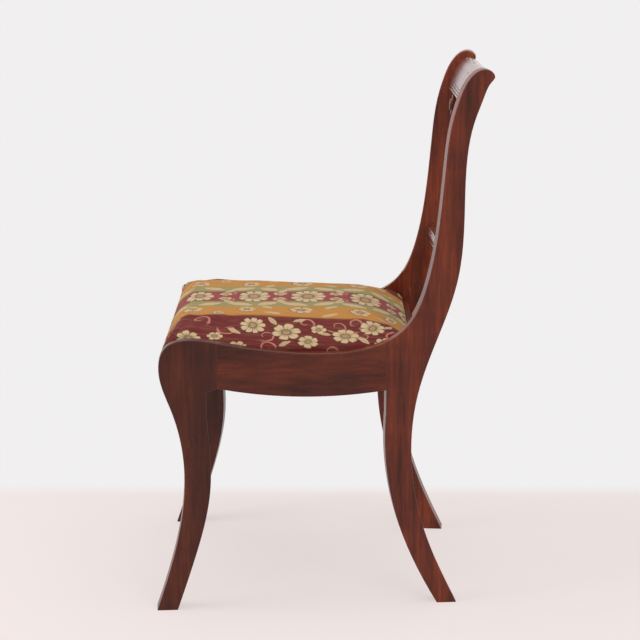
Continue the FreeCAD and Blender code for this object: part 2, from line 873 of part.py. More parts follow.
def lyre_pieces():
    """Arms, base, yoke, strings, pins and bosses of the lyre, by name."""
    room = box(-far, far, 0, far, stay_top_z, crest_bottom_z)
    bores = group(arm_pins(pin_clearance))
    strings = group(string_rods())
    arm = lyre_arm_plate().common(box(-far, far, -far, far, base_top_z, far))
    arms = group([arm, mirrored(arm)])
    base = lyre_base_plate().cut(bores).cut(strings)
    left_arm = whole(lean(arm.cut(bores).cut(strings)).common(room))
    return {
        "lyre_arm_left": left_arm,
        "lyre_arm_right": mirrored(left_arm),
        "lyre_base": whole(lean(base).common(room)),
        "lyre_yoke": whole(lean(yoke_bar(arms).cut(strings))),
        "lyre_strings": lean(strings),
        "lyre_pins": lean(group(arm_pins())),
        "lyre_bosses": lean(group(head_bosses())),
    }


# Drop-in seat

seat_bottom_z = ledge_z + seat_rest_gap
cover_bottom_z = seat_bottom_z + dust_cloth_thickness
bar_bottom_z = cover_bottom_z + cover_thickness
bar_top_z = bar_bottom_z + seat_bar_thickness
hessian_z = bar_top_z + 2.0 * strap_thickness
pad_bottom_z = hessian_z + hessian_thickness
inner_inset = cover_thickness + cover_gap


def seat_outline(inset):
    """Plan of the seat, this far inside the outer surface of its cover."""
    front = seat_front_y + inset
    back = seat_back_y - inset
    outward = ledge_width - seat_side_gap - inset
    return [
        (-side_line_x(front, outward), front),
        (side_line_x(front, outward), front),
        (side_line_x(back, outward), back),
        (-side_line_x(back, outward), back),
    ]


def seat_prism(inset, z0, z1):
    """Upright prism over the plan of the seat."""
    return prism(seat_outline(inset), z0, z1)


def rounded_prism(inset, radius, z0, z1):
    """Upright prism over the plan of the seat, with rounded corners."""
    body = seat_prism(inset, z0, z1)
    upright = [edge for edge in body.Edges if edge.BoundBox.ZLength > overrun / 2.0]
    return body.makeFillet(radius, upright)


def plan_ring(inset, radius, z):
    """Rounded outline of the seat at this height."""
    slab = rounded_prism(inset, radius, z, z + overrun)
    return min(slab.Faces, key=lambda face: face.CenterOfMass.z).OuterWire


def crowned(inset, bottom_z):
    """Padded form of the seat: upright sides, rounded corners and a swelling top."""
    half_depth = (seat_back_y - seat_front_y) / 2.0
    reach = min(half_depth, side_line_x(seat_back_y, ledge_width)) - inset
    rings = [plan_ring(inset, cover_corner_round - inset, cover_bottom_z)]
    for share, drop in crown_swell:
        radius = (cover_corner_round - inset) * (1.0 - share)
        rings.append(plan_ring(inset + share * reach, radius, crown_top_z - inset - drop))
    body = Part.makeLoft(rings, True, True)
    return body.common(box(-far, far, -far, far, bottom_z, far))


def seat_cover():
    """Woven cover, drawn over the pad and turned under the seat frame."""
    outer = crowned(0.0, cover_bottom_z)
    hollow = crowned(inner_inset, cover_bottom_z + cover_thickness)
    opening = seat_prism(cover_turn_under, cover_bottom_z - overrun, bar_top_z)
    return whole(outer.cut(hollow).cut(opening))


def seat_pad():
    """Hair stuffing under the cover, on the hessian."""
    return whole(crowned(inner_inset + cover_gap, pad_bottom_z))


def seat_bars():
    """Front, back and side bars of the seat frame, halved together at the corners."""
    outer = inner_inset + cover_gap
    inner = outer + seat_bar_width
    ring = rounded_prism(outer, cover_corner_round - outer, bar_bottom_z, bar_top_z)
    front_y = seat_front_y - overrun
    back_y = seat_back_y + overrun
    front_band = box(-far, far, front_y, seat_front_y + inner, bar_bottom_z, bar_top_z)
    back_band = box(-far, far, seat_back_y - inner, back_y, bar_bottom_z, bar_top_z)
    side_inner = ledge_width - seat_side_gap - inner
    side_plan = [
        (side_line_x(front_y, side_inner), front_y),
        (far, front_y),
        (far, back_y),
        (side_line_x(back_y, side_inner), back_y),
    ]
    side_band = prism(side_plan, bar_bottom_z, bar_top_z)
    middle_z = (bar_bottom_z + bar_top_z) / 2.0
    lower = box(-far, far, -far, far, bar_bottom_z - overrun, middle_z)
    upper = box(-far, far, -far, far, middle_z, bar_top_z + overrun)
    side_laps = group([side_band, mirrored(side_band)]).common(lower)
    front = ring.common(front_band).cut(side_laps)
    back = ring.common(back_band).cut(side_laps)
    side = ring.common(side_band).cut(front_band.common(upper)).cut(back_band.common(upper))
    return whole(front), whole(back), whole(side)


def seat_straps():
    """Webbing: straps from front to back with cross straps over them."""
    pitch = strap_width + strap_gap
    inner = inner_inset + cover_gap + strap_margin
    front_y = seat_front_y + inner
    back_y = seat_back_y - inner
    field = seat_prism(inner, bar_top_z, hessian_z)
    long_count = int((2.0 * side_line_x(back_y, ledge_width - inner) - strap_width) // pitch) + 1
    cross_count = int((back_y - front_y - strap_width) // pitch) + 1
    middle_y = (front_y + back_y) / 2.0
    straps = []
    for index in range(long_count):
        x = (index - (long_count - 1) / 2.0) * pitch - strap_width / 2.0
        straps.append(box(x, x + strap_width, front_y, back_y, bar_top_z, bar_top_z + strap_thickness))
    for index in range(cross_count):
        y = middle_y + (index - (cross_count - 1) / 2.0) * pitch - strap_width / 2.0
        strap = box(-far, far, y, y + strap_width, bar_top_z + strap_thickness, hessian_z)
        straps.append(strap.common(field))
    return group(straps)


def build():
    """Make and write every sub-part."""
    os.makedirs("parts", exist_ok=True)
    leg, side_rail, rear_leg = side_pieces()
    crest, crest_end = crest_rail_parts()
    stay, stay_end = stay_rail_parts()

    front_corner = front_rail_y + front_rail_thickness
    corners = {"front": (front_corner, 1), "back": (rear_rail_y, -1)}
    dowel_lines = {
        "front": (front_rail_y + front_dowel_setback, front_rail_bottom_z),
        "back": (rear_rail_y + rear_dowel_setback, rear_rail_bottom_z),
    }
    bores = {}
    for end in corners:
        dowel_bores = dowel_pair(*dowel_lines[end], extra=dowel_clearance)
        screw_bores = block_screws(*corners[end], extra=screw_clearance, head_room=block_reach)
        bores[end] = group(dowel_bores + screw_bores)

    rear_leg = rear_leg.cut(crest_end).cut(stay_end).cut(bores["back"])
    leg = leg.cut(bores["front"])
    side_rail = side_rail.cut(bores["front"]).cut(bores["back"])
    for name, shape in (("front_leg", leg), ("side_rail", side_rail), ("rear_leg", rear_leg)):
        export(name + "_left", whole(shape))
        export(name + "_right", mirrored(whole(shape)))

    export("crest_rail", crest)
    export("stay_rail", stay)

    front_rail = front_rail_solid().cut(bores["front"]).cut(mirrored(bores["front"]))
    back_rail = rear_rail_solid().cut(bores["back"]).cut(mirrored(bores["back"]))
    export("front_rail", whole(front_rail))
    export("rear_rail", whole(back_rail))

    for end, (corner_y, inward) in corners.items():
        block = whole(corner_block(corner_y, inward).cut(bores[end]))
        export("corner_block_" + end + "_left", block)
        export("corner_block_" + end + "_right", mirrored(block))
        rods = dowel_pair(*dowel_lines[end])
        export("dowels_" + end, group(rods + [mirrored(rod) for rod in rods]))
    screws = [screw for place in corners.values() for screw in block_screws(*place)]
    export("corner_screws", group(screws + [mirrored(screw) for screw in screws]))

    for name, shape in lyre_pieces().items():
        export(name, shape)

    front_bar, back_bar, side_bar = seat_bars()
    export("seat_bar_front", front_bar)
    export("seat_bar_back", back_bar)
    export("seat_bar_left", side_bar)
    export("seat_bar_right", mirrored(side_bar))
    export("seat_webbing", seat_straps())
    export("seat_hessian", seat_prism(hessian_margin, hessian_z, pad_bottom_z))
    export("seat_pad", seat_pad())
    export("seat_cover", seat_cover())
    export("seat_dust_cloth", seat_prism(dust_cloth_margin, seat_bottom_z, cover_bottom_z))


build()
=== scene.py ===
"""Looks of a mahogany dining chair with a lyre back, sabre legs and a drop-in seat."""
import logging
import math
from dataclasses import dataclass
from enum import Enum
from typing import Callable, Optional, Sequence, Union

import bmesh
import bpy
import numpy as np
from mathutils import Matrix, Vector, noise


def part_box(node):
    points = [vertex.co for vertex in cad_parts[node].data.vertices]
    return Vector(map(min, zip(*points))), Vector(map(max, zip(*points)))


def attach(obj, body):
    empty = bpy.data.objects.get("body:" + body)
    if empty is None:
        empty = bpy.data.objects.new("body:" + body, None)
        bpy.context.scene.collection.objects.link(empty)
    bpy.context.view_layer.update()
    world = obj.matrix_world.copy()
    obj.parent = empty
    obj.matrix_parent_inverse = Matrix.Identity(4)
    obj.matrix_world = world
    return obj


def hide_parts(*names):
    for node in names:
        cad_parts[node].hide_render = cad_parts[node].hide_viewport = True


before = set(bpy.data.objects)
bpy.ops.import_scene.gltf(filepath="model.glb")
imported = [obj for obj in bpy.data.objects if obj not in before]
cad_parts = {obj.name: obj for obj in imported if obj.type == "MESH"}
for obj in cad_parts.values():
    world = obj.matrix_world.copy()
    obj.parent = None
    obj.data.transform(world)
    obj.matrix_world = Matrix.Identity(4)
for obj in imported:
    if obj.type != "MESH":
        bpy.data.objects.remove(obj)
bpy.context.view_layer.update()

CLOTH_PLACE = "cloth"
Colour = tuple[float, float, float]
Point = tuple[float, float, float]

logging.basicConfig(level=logging.INFO, format="%(message)s")
log = logging.getLogger("chair")


class Grain(Enum):
    """Axis along which the fibres of a board run."""

    ACROSS = 0
    BACK = 1
    UP = 2

    def drawn_out(self, share: float) -> Point:
        """Factors that scale a pattern along the fibres alone.

        Args:
            share: Factor along the fibres.

        Returns:
            Factor of each axis.
        """
        return tuple(share if axis == self.value else 1.0 for axis in range(3))


def dimmed(colour: Colour, share: float) -> Colour:
    """Colour with each part multiplied.

    Args:
        colour: The colour.
        share: Factor of each part.

    Returns:
        The darker or brighter colour.
    """
    return tuple(part * share for part in colour)


class Value:
    """Output socket of a shader node, with arithmetic that adds Math nodes."""

    def __init__(self, graph: "Graph", socket: bpy.types.NodeSocket) -> None:
        """Wrap a socket.

        Args:
            graph: Node tree that the socket belongs to.
            socket: Output socket.
        """
        self.graph = graph
        self.socket = socket

    def math(self, operation: str, *others: "Number") -> "Value":
        """Result of one Math node.

        Args:
            operation: Name of the operation.
            others: Its second and third operand.

        Returns:
            The node's output.
        """
        return self.graph.math(operation, self, *others)

    def __add__(self, other: "Number") -> "Value":
        """Sum."""
        return self.math("ADD", other)

    def __radd__(self, other: "Number") -> "Value":
        """Sum."""
        return self.graph.math("ADD", other, self)

    def __sub__(self, other: "Number") -> "Value":
        """Difference."""
        return self.math("SUBTRACT", other)

    def __rsub__(self, other: "Number") -> "Value":
        """Difference."""
        return self.graph.math("SUBTRACT", other, self)

    def __mul__(self, other: "Number") -> "Value":
        """Product."""
        return self.math("MULTIPLY", other)

    def __rmul__(self, other: "Number") -> "Value":
        """Product."""
        return self.graph.math("MULTIPLY", other, self)

    def __truediv__(self, other: "Number") -> "Value":
        """Quotient."""
        return self.math("DIVIDE", other)

    def __gt__(self, other: "Number") -> "Value":
        """One where this is the greater."""
        return self.math("GREATER_THAN", other)

    def __lt__(self, other: "Number") -> "Value":
        """One where this is the less."""
        return self.math("LESS_THAN", other)

    def __or__(self, other: "Number") -> "Value":
        """The greater of two masks."""
        return self.math("MAXIMUM", other)

    def __abs__(self) -> "Value":
        """Size without its sign."""
        return self.math("ABSOLUTE")

    def step(self, low: float, high: float) -> "Value":
        """Smooth step from 0 at low to 1 at high.

        Args:
            low: Where it is 0.
            high: Where it is 1; it may be the smaller number.

        Returns:
            Value from 0 to 1.
        """
        flipped = high < low
        settings = {"interpolation_type": "SMOOTHSTEP"}
        ends = {"From Min": min(low, high), "From Max": max(low, high)}
        span = {"To Min": 1.0 if flipped else 0.0, "To Max": 0.0 if flipped else 1.0}
        return self.graph.node("ShaderNodeMapRange", settings, {"Value": self, **ends, **span})


Number = Union[Value, float]


class Graph:
    """Node tree of one material or of the world."""

    def __init__(self, owner: Union[bpy.types.Material, bpy.types.World]) -> None:
        """Empty the owner's node tree.

        Args:
            owner: Material or world whose nodes are built.
        """
        owner.use_nodes = True
        self.tree = owner.node_tree
        self.tree.nodes.clear()

    def add(self, kind: str, settings: Optional[dict] = None,
            inputs: Optional[dict] = None) -> bpy.types.Node:
        """Add a node.

        Args:
            kind: Type of the node.
            settings: Its own settings, with a ramp's stops under "stops".
            inputs: Values or links of its sockets, by name or number.

        Returns:
            The node.
        """
        made = self.tree.nodes.new(kind)
        for name, setting in (settings or {}).items():
            if name == "stops":
                self._stops(made.color_ramp, setting)
            else:
                setattr(made, name, setting)
        for key, value in (inputs or {}).items():
            socket = made.inputs[key]
            if isinstance(value, Value):
                self.tree.links.new(value.socket, socket)
            elif socket.type == "RGBA" and len(value) == 3:
                socket.default_value = (*value, 1.0)
            else:
                socket.default_value = value
        return made

    def node(self, kind: str, settings: Optional[dict] = None, inputs: Optional[dict] = None,
             output: Union[int, str] = 0) -> Value:
        """Add a node for one of its outputs.

        Args:
            kind: Type of the node.
            settings: Its own settings.
            inputs: Values or links of its sockets.
            output: Name or number of the output.

        Returns:
            That output.
        """
        return Value(self, self.add(kind, settings, inputs).outputs[output])

    @staticmethod
    def _stops(ramp: bpy.types.ColorRamp, stops: Sequence[tuple[float, Colour]]) -> None:
        """Give a colour ramp its stops.

        Args:
            ramp: Ramp of the node.
            stops: Place and colour of each stop.
        """
        while len(ramp.elements) > 1:
            ramp.elements.remove(ramp.elements[-1])
        for index, (place, colour) in enumerate(stops):
            stop = ramp.elements[0] if index == 0 else ramp.elements.new(place)
            stop.position = place
            stop.color = (*colour, 1.0)

    def math(self, operation: str, *operands: Number) -> Value:
        """Result of one Math node.

        Args:
            operation: Name of the operation.
            operands: Its operands.

        Returns:
            The node's output.
        """
        return self.node("ShaderNodeMath", {"operation": operation}, dict(enumerate(operands)))

    def mix(self, factor: Number, first: object, second: object) -> Value:
        """Mix of two colours.

        Args:
            factor: Share of the second.
            first: Colour or link.
            second: Colour or link.

        Returns:
            The mixed colour.
        """
        inputs = {0: factor, 6: first, 7: second}
        return self.node("ShaderNodeMix", {"data_type": "RGBA"}, inputs, 2)

    def ramp(self, value: Value, stops: Sequence[tuple[float, Colour]]) -> Value:
        """Colours laid out along a value.

        Args:
            value: Place on the ramp.
            stops: Place and colour of each stop.

        Returns:
            The colour.
        """
        return self.node("ShaderNodeValToRGB", {"stops": stops}, {"Fac": value})

    def place(self) -> Value:
        """Position in the object's own space, which is that of the whole chair."""
        return self.node("ShaderNodeTexCoord", output="Object")

    def scaled(self, vector: Value, scale: Point) -> Value:
        """Vector with each part multiplied.

        Args:
            vector: The vector.
            scale: Factor of each part.

        Returns:
            The scaled vector.
        """
        return self.node("ShaderNodeVectorMath", {"operation": "MULTIPLY"}, {0: vector, 1: scale})

    def parts(self, vector: Value) -> list[Value]:
        """The three parts of a vector.

        Args:
            vector: The vector.

        Returns:
            Its x, y and z.
        """
        split = self.add("ShaderNodeSeparateXYZ", inputs={0: vector})
        return [Value(self, socket) for socket in split.outputs]

    def noise(self, vector: Value, scale: float, detail: float = 2.0, rough: float = 0.5) -> Value:
        """Soft noise from 0 to 1.

        Args:
            vector: Where it is taken.
            scale: Its fineness.
            detail: Number of finer layers.
            rough: Strength of those layers.

        Returns:
            The noise.
        """
        inputs = {"Vector": vector, "Scale": scale, "Detail": detail, "Roughness": rough}
        return self.node("ShaderNodeTexNoise", inputs=inputs)

    def bump(self, height: Value, depth: float, strength: float = 1.0) -> Value:
        """Normal of a surface with this relief.

        Args:
            height: Relief from 0 to 1.
            depth: Its depth in metres.
            strength: Strength of the effect.

        Returns:
            The normal.
        """
        return self.node("ShaderNodeBump", inputs={
            "Height": height, "Distance": depth, "Strength": strength})

    def surface(self, **sockets: object) -> None:
        """Principled shader of the material.

        Args:
            sockets: Values or links by socket name, with "_" for a space.
        """
        inputs = {name.replace("_", " "): value for name, value in sockets.items()}
        self.output(self.node("ShaderNodeBsdfPrincipled", inputs=inputs))

    def output(self, shader: Value, kind: str = "ShaderNodeOutputMaterial") -> None:
        """Use a shader as the result of the tree.

        Args:
            shader: Output of the shader.
            kind: Type of the output node.
        """
        self.add(kind, inputs={"Surface": shader})


class Finish:
    """Something that can make a material."""

    name: str

    def build(self, graph: Graph) -> None:
        """Build the nodes.

        Args:
            graph: Empty node tree.
        """
        raise NotImplementedError

    def material(self) -> bpy.types.Material:
        """The finished material, made once for each name."""
        found = bpy.data.materials.get(self.name)
        if found is None:
            found = bpy.data.materials.new(self.name)
            self.build(Graph(found))
        return found


@dataclass(frozen=True)
class Mahogany(Finish):
    """Dark red mahogany under lacquer, with fine scratches in a few worn patches."""

    name: str
    grain: Grain
    tone: float
    gloss: float
    dark: Colour = (0.036, 0.0058, 0.0026)
    middle: Colour = (0.102, 0.0165, 0.0058)
    light: Colour = (0.205, 0.0400, 0.0115)
    scratched: Colour = (0.30, 0.16, 0.10)
    fibre_share: float = 0.07
    relief_depth: float = 0.00012

    def build(self, graph: Graph) -> None:
        """Build the nodes.

        Args:
            graph: Empty node tree.
        """
        place = graph.place()
        along = graph.scaled(place, self.grain.drawn_out(self.fibre_share))
        waves = graph.noise(place, 6.0, 2.0)
        figure = graph.noise(graph.scaled(place, self.grain.drawn_out(4.0)), 6.5, 2.0)
        bands = graph.noise(along, 34.0, 4.0, 0.55)
        streaks = graph.noise(along, 190.0, 3.0, 0.6)
        pores = graph.noise(along, 900.0, 1.0).step(0.60, 0.72)
        depth = bands * 0.62 + streaks * 0.33 + (waves - 0.5) * 0.34 + (figure - 0.5) * 0.16
        tint = graph.ramp(depth, [
            (0.30, dimmed(self.dark, self.tone)),
            (0.47, dimmed(self.middle, self.tone)),
            (0.68, dimmed(self.light, self.tone)),
        ])
        tint = graph.mix(pores * 0.45, tint, dimmed(self.dark, 0.35))
        scuffs = self._scuffs(graph, place)
        tint = graph.mix(scuffs * 0.22, tint, self.scratched)
        cloud = graph.noise(place, 22.0, 3.0)
        relief = streaks * 0.25 + (1.0 - pores) * 0.5 + cloud * 0.8
        graph.surface(
            Base_Color=tint, Roughness=0.30 + cloud * 0.16 + scuffs * 0.22,
            Normal=graph.bump(relief, self.relief_depth, 0.55),
            Coat_Weight=self.gloss, Coat_Roughness=0.14, Specular_IOR_Level=0.2,
        )

    @staticmethod
    def _scuffs(graph: Graph, place: Value) -> Value:
        """Fine light scratches, gathered in a few worn patches.

        Args:
            graph: Node tree.
            place: Position on the chair.

        Returns:
            Mask of the scratches.
        """
        patches = graph.noise(place, 11.0, 2.0).step(0.58, 0.68)
        crossings = abs(graph.noise(graph.scaled(place, (1.0, 1.6, 0.7)), 60.0, 0.0) - 0.5)
        return crossings.step(0.010, 0.002) * patches


@dataclass(frozen=True)
class BareWood(Finish):
    """Unfinished wood of parts that don't show from above."""

    name: str
    grain: Grain
    dark: Colour
    light: Colour
    fibre_share: float = 0.08

    def build(self, graph: Graph) -> None:
        """Build the nodes.

        Args:
            graph: Empty node tree.
        """
        place = graph.place()
        along = graph.scaled(place, self.grain.drawn_out(self.fibre_share))
        bands = graph.noise(along, 60.0, 4.0, 0.6)
        flecks = graph.noise(along, 420.0, 2.0)
        stain = graph.noise(place, 9.0, 3.0)
        tint = graph.ramp(bands * 0.7 + flecks * 0.3, [(0.3, self.dark), (0.7, self.light)])
        tint = graph.mix(stain.step(0.5, 0.75) * 0.4, tint, dimmed(self.dark, 0.5))
        graph.surface(
            Base_Color=tint, Roughness=0.62 + flecks * 0.2,
            Normal=graph.bump(flecks + bands, 0.00025, 0.6), Specular_IOR_Level=0.3,
        )


@dataclass(frozen=True)
class Metal(Finish):
    """Drawn or turned metal with a little tarnish."""

    name: str
    bright: Colour
    tarnish: Colour
    roughness: float = 0.25

    def build(self, graph: Graph) -> None:
        """Build the nodes.

        Args:
            graph: Empty node tree.
        """
        place = graph.place()
        spots = graph.noise(place, 140.0, 4.0, 0.65)
        drawn = graph.noise(graph.scaled(place, (1.0, 1.0, 0.02)), 1500.0, 1.0)
        worn = spots.step(0.45, 0.72)
        graph.surface(
            Base_Color=graph.mix(worn * 0.7, self.bright, self.tarnish),
            Metallic=1.0 - worn * 0.25, Roughness=self.roughness + worn * 0.3 + drawn * 0.1,
            Normal=graph.bump(drawn, 0.00004, 0.5),
        )


@dataclass(frozen=True)
class PlainWeave(Finish):
    """Plain cloth of crossing threads."""

    name: str
    thread: Colour
    gap_shade_and_stain: Colour
    pitch: float
    depth: float = 0.0004

    def build(self, graph: Graph) -> None:
        """Build the nodes.

        Args:
            graph: Empty node tree.
        """
        place = graph.place()
        x, y, z = graph.parts(place)
        rate = math.pi / self.pitch
        weft = abs(((x + z * 0.5) * rate).math("SINE"))
        warp = abs(((y + z * 0.5) * rate).math("SINE"))
        pairs = 0.5 / self.pitch
        over = (x * pairs).math("FLOOR") + (y * pairs).math("FLOOR")
        slub = graph.noise(graph.scaled(place, (1.0, 0.1, 1.0)), 300.0, 3.0, 0.6)
        stain = graph.noise(place, 14.0, 3.0)
        height = (weft | warp) * 0.75 + slub * 0.25
        # The darker colour is partly stain and partly painted shade in the gaps between threads,
        # where the relief is low.
        tone = height * 0.55 + (over * 0.5).math("FRACT") * 0.1 + stain * 0.35
        tint = graph.ramp(tone, [(0.2, self.gap_shade_and_stain), (0.75, self.thread)])
        graph.surface(
            Base_Color=tint, Roughness=0.86 + slub * 0.1,
            Normal=graph.bump(height, self.depth, 0.8), Specular_IOR_Level=0.2,
            Sheen_Weight=0.15,
        )


@dataclass(frozen=True)
class Stuffing(Finish):
    """Matted curled hair."""

    name: str
    dark: Colour = (0.035, 0.024, 0.016)
    light: Colour = (0.20, 0.145, 0.095)

    def build(self, graph: Graph) -> None:
        """Build the nodes.

        Args:
            graph: Empty node tree.
        """
        place = graph.place()
        curls = abs(graph.noise(place, 260.0, 2.0, 0.6) - 0.5).step(0.09, 0.0)
        clumps = graph.noise(place, 70.0, 4.0, 0.6)
        tint = graph.ramp(clumps * 0.6 + curls * 0.4, [(0.2, self.dark), (0.8, self.light)])
        graph.surface(
            Base_Color=tint, Roughness=0.9 - curls * 0.1,
            Normal=graph.bump(curls * 0.5 + clumps, 0.0015, 0.9),
        )


@dataclass(frozen=True)
class Figure:
    """Figure of the woven pattern, with its centre on the cloth."""

    across: float
    along: float

    def size(self) -> float:
        """Size by which distances to the figure are judged."""
        raise NotImplementedError

    def shape(self) -> Point:
        """Three numbers that set its form."""
        raise NotImplementedError

    def centre(self) -> Point:
        """Its centre, with its size as third part."""
        return (self.across, self.along, self.size())


@dataclass(frozen=True)
class Blossom(Figure):
    """Open flower: its radius, number of petals, turn and shortening along the stripes."""

    radius: float
    petals: int
    turn: float = 0.0
    squeeze: float = 1.0

    def size(self) -> float:
        """Its radius."""
        return self.radius

    def shape(self) -> Point:
        """Half its petals, its turn and its shortening."""
        return (self.petals / 2.0, self.turn, self.squeeze)


@dataclass(frozen=True)
class Leaf(Figure):
    """Pointed leaf: its length, width and direction."""

    length: float
    width: float
    turn: float

    def size(self) -> float:
        """Half its length."""
        return self.length / 2.0

    def shape(self) -> Point:
        """Cosine and sine of its direction, and half its width."""
        return (math.cos(self.turn), math.sin(self.turn), self.width / 2.0)


@dataclass(frozen=True)
class Curl(Figure):
    """Curled stem: its radius, where it opens and its width."""

    radius: float
    opening: float
    width: float = 0.0026

    def size(self) -> float:
        """Its radius."""
        return self.radius

    def shape(self) -> Point:
        """Its opening and its width."""
        return (self.opening, self.width, 0.0)


def nearest(graph: Graph, place: Value,
            figures: Sequence[Figure]) -> tuple[list[Value], list[Value]]:
    """Centre and shape of the figure that is nearest for its size.

    Args:
        graph: Node tree.
        place: Place on the cloth.
        figures: Figures of one kind.

    Returns:
        The three parts of its centre and of its shape.
    """
    best, centre, shape = 1e6, figures[0].centre(), figures[0].shape()
    for figure in figures:
        ends = {0: place, 1: (figure.across, figure.along, 0.0)}
        away = graph.node("ShaderNodeVectorMath", {"operation": "DISTANCE"}, ends, 1)
        away = away / figure.size()
        closer = away < best
        kind = {"data_type": "VECTOR"}
        centre = graph.node("ShaderNodeMix", kind, {0: closer, 4: centre, 5: figure.centre()}, 1)
        shape = graph.node("ShaderNodeMix", kind, {0: closer, 4: shape, 5: figure.shape()}, 1)
        best = away.math("MINIMUM", best)
    return graph.parts(centre), graph.parts(shape)


def draw_blossoms(graph: Graph, place: Value, figures: Sequence[Blossom]) -> list[Value]:
    """Petals, outlines and hearts of flowers.

    Args:
        graph: Node tree.
        place: Place on the cloth.
        figures: The flowers.

    Returns:
        Masks of petals, lines and hearts.
    """
    (across, along, radius), (half_petals, turn, squeeze) = nearest(graph, place, figures)
    u, v, _ = graph.parts(place)
    du = (u - across) / radius
    dv = (v - along) / radius * squeeze
    # Each petal is a lobe of a cosine round the heart, with a notch at its tip
    reach = (du * du + dv * dv).math("SQRT")
    angle = du.math("ARCTAN2", dv) * half_petals + turn
    lobe = abs(angle.math("COSINE"))
    notch = abs((angle * 2.0).math("COSINE")) * 0.06
    inside = lobe.math("POWER", 0.55) * 0.34 + 0.66 - notch - reach
    petals = inside.step(-0.02, 0.03)
    heart = reach.step(0.27, 0.20)
    # Dark threads: the rim on its shaded side, clefts between petals, veins and the hollow
    shaded = (du * 0.6 - dv * 0.8).step(-0.2, 0.6)
    rim = abs(inside + 0.01).step(0.09, 0.03) * (shaded * 0.75 + 0.25)
    clefts = lobe.step(0.34, 0.10) * reach.step(0.24, 0.40)
    veins = lobe.step(0.955, 0.995) * reach.step(0.66, 0.46)
    ring = abs(reach - 0.30).step(0.12, 0.04)
    hollow = reach.step(0.62, 0.30) * 0.35
    return [petals, rim | (clefts | veins * 0.7 | ring | hollow) * petals, heart]


def draw_leaves(graph: Graph, place: Value, figures: Sequence[Leaf]) -> tuple[Value, Value]:
    """Blades and midribs of leaves.

    Args:
        graph: Node tree.
        place: Place on the cloth.
        figures: The leaves.

    Returns:
        Masks of blades and midribs.
    """
    (across, along, half_length), (cosine, sine, half_width) = nearest(graph, place, figures)
    u, v, _ = graph.parts(place)
    du, dv = u - across, v - along
    lengthways = (dv * cosine + du * sine) / half_length
    sideways = abs(du * cosine - dv * sine)
    saw = abs((lengthways * 9.0).math("SINE")) * 0.12
    blade = (1.0 - lengthways * lengthways - saw) * half_width - sideways
    body = blade.step(-0.0003, 0.0006)
    return body, sideways.step(0.0011, 0.0004) * body * lengthways.step(0.8, 0.4)


def draw_curls(graph: Graph, place: Value, figures: Sequence[Curl]) -> Value:
    """Curled stems.

    Args:
        graph: Node tree.
        place: Place on the cloth.
        figures: The stems.

    Returns:
        Their mask.
    """
    (across, along, radius), (opening, width, _) = nearest(graph, place, figures)
    u, v, _ = graph.parts(place)
    du, dv = u - across, v - along
    reach = (du * du + dv * dv).math("SQRT")
    part = ((du.math("ARCTAN2", dv) - opening) / math.tau).math("FRACT")
    grown = radius * (part * 0.95 + 0.28)
    swell = width * (part * 0.5 + 0.35)
    ends = part.step(1.0, 0.9) * part.step(0.0, 0.05)
    return (swell - abs(reach - grown)).step(0.0, 0.0006) * ends


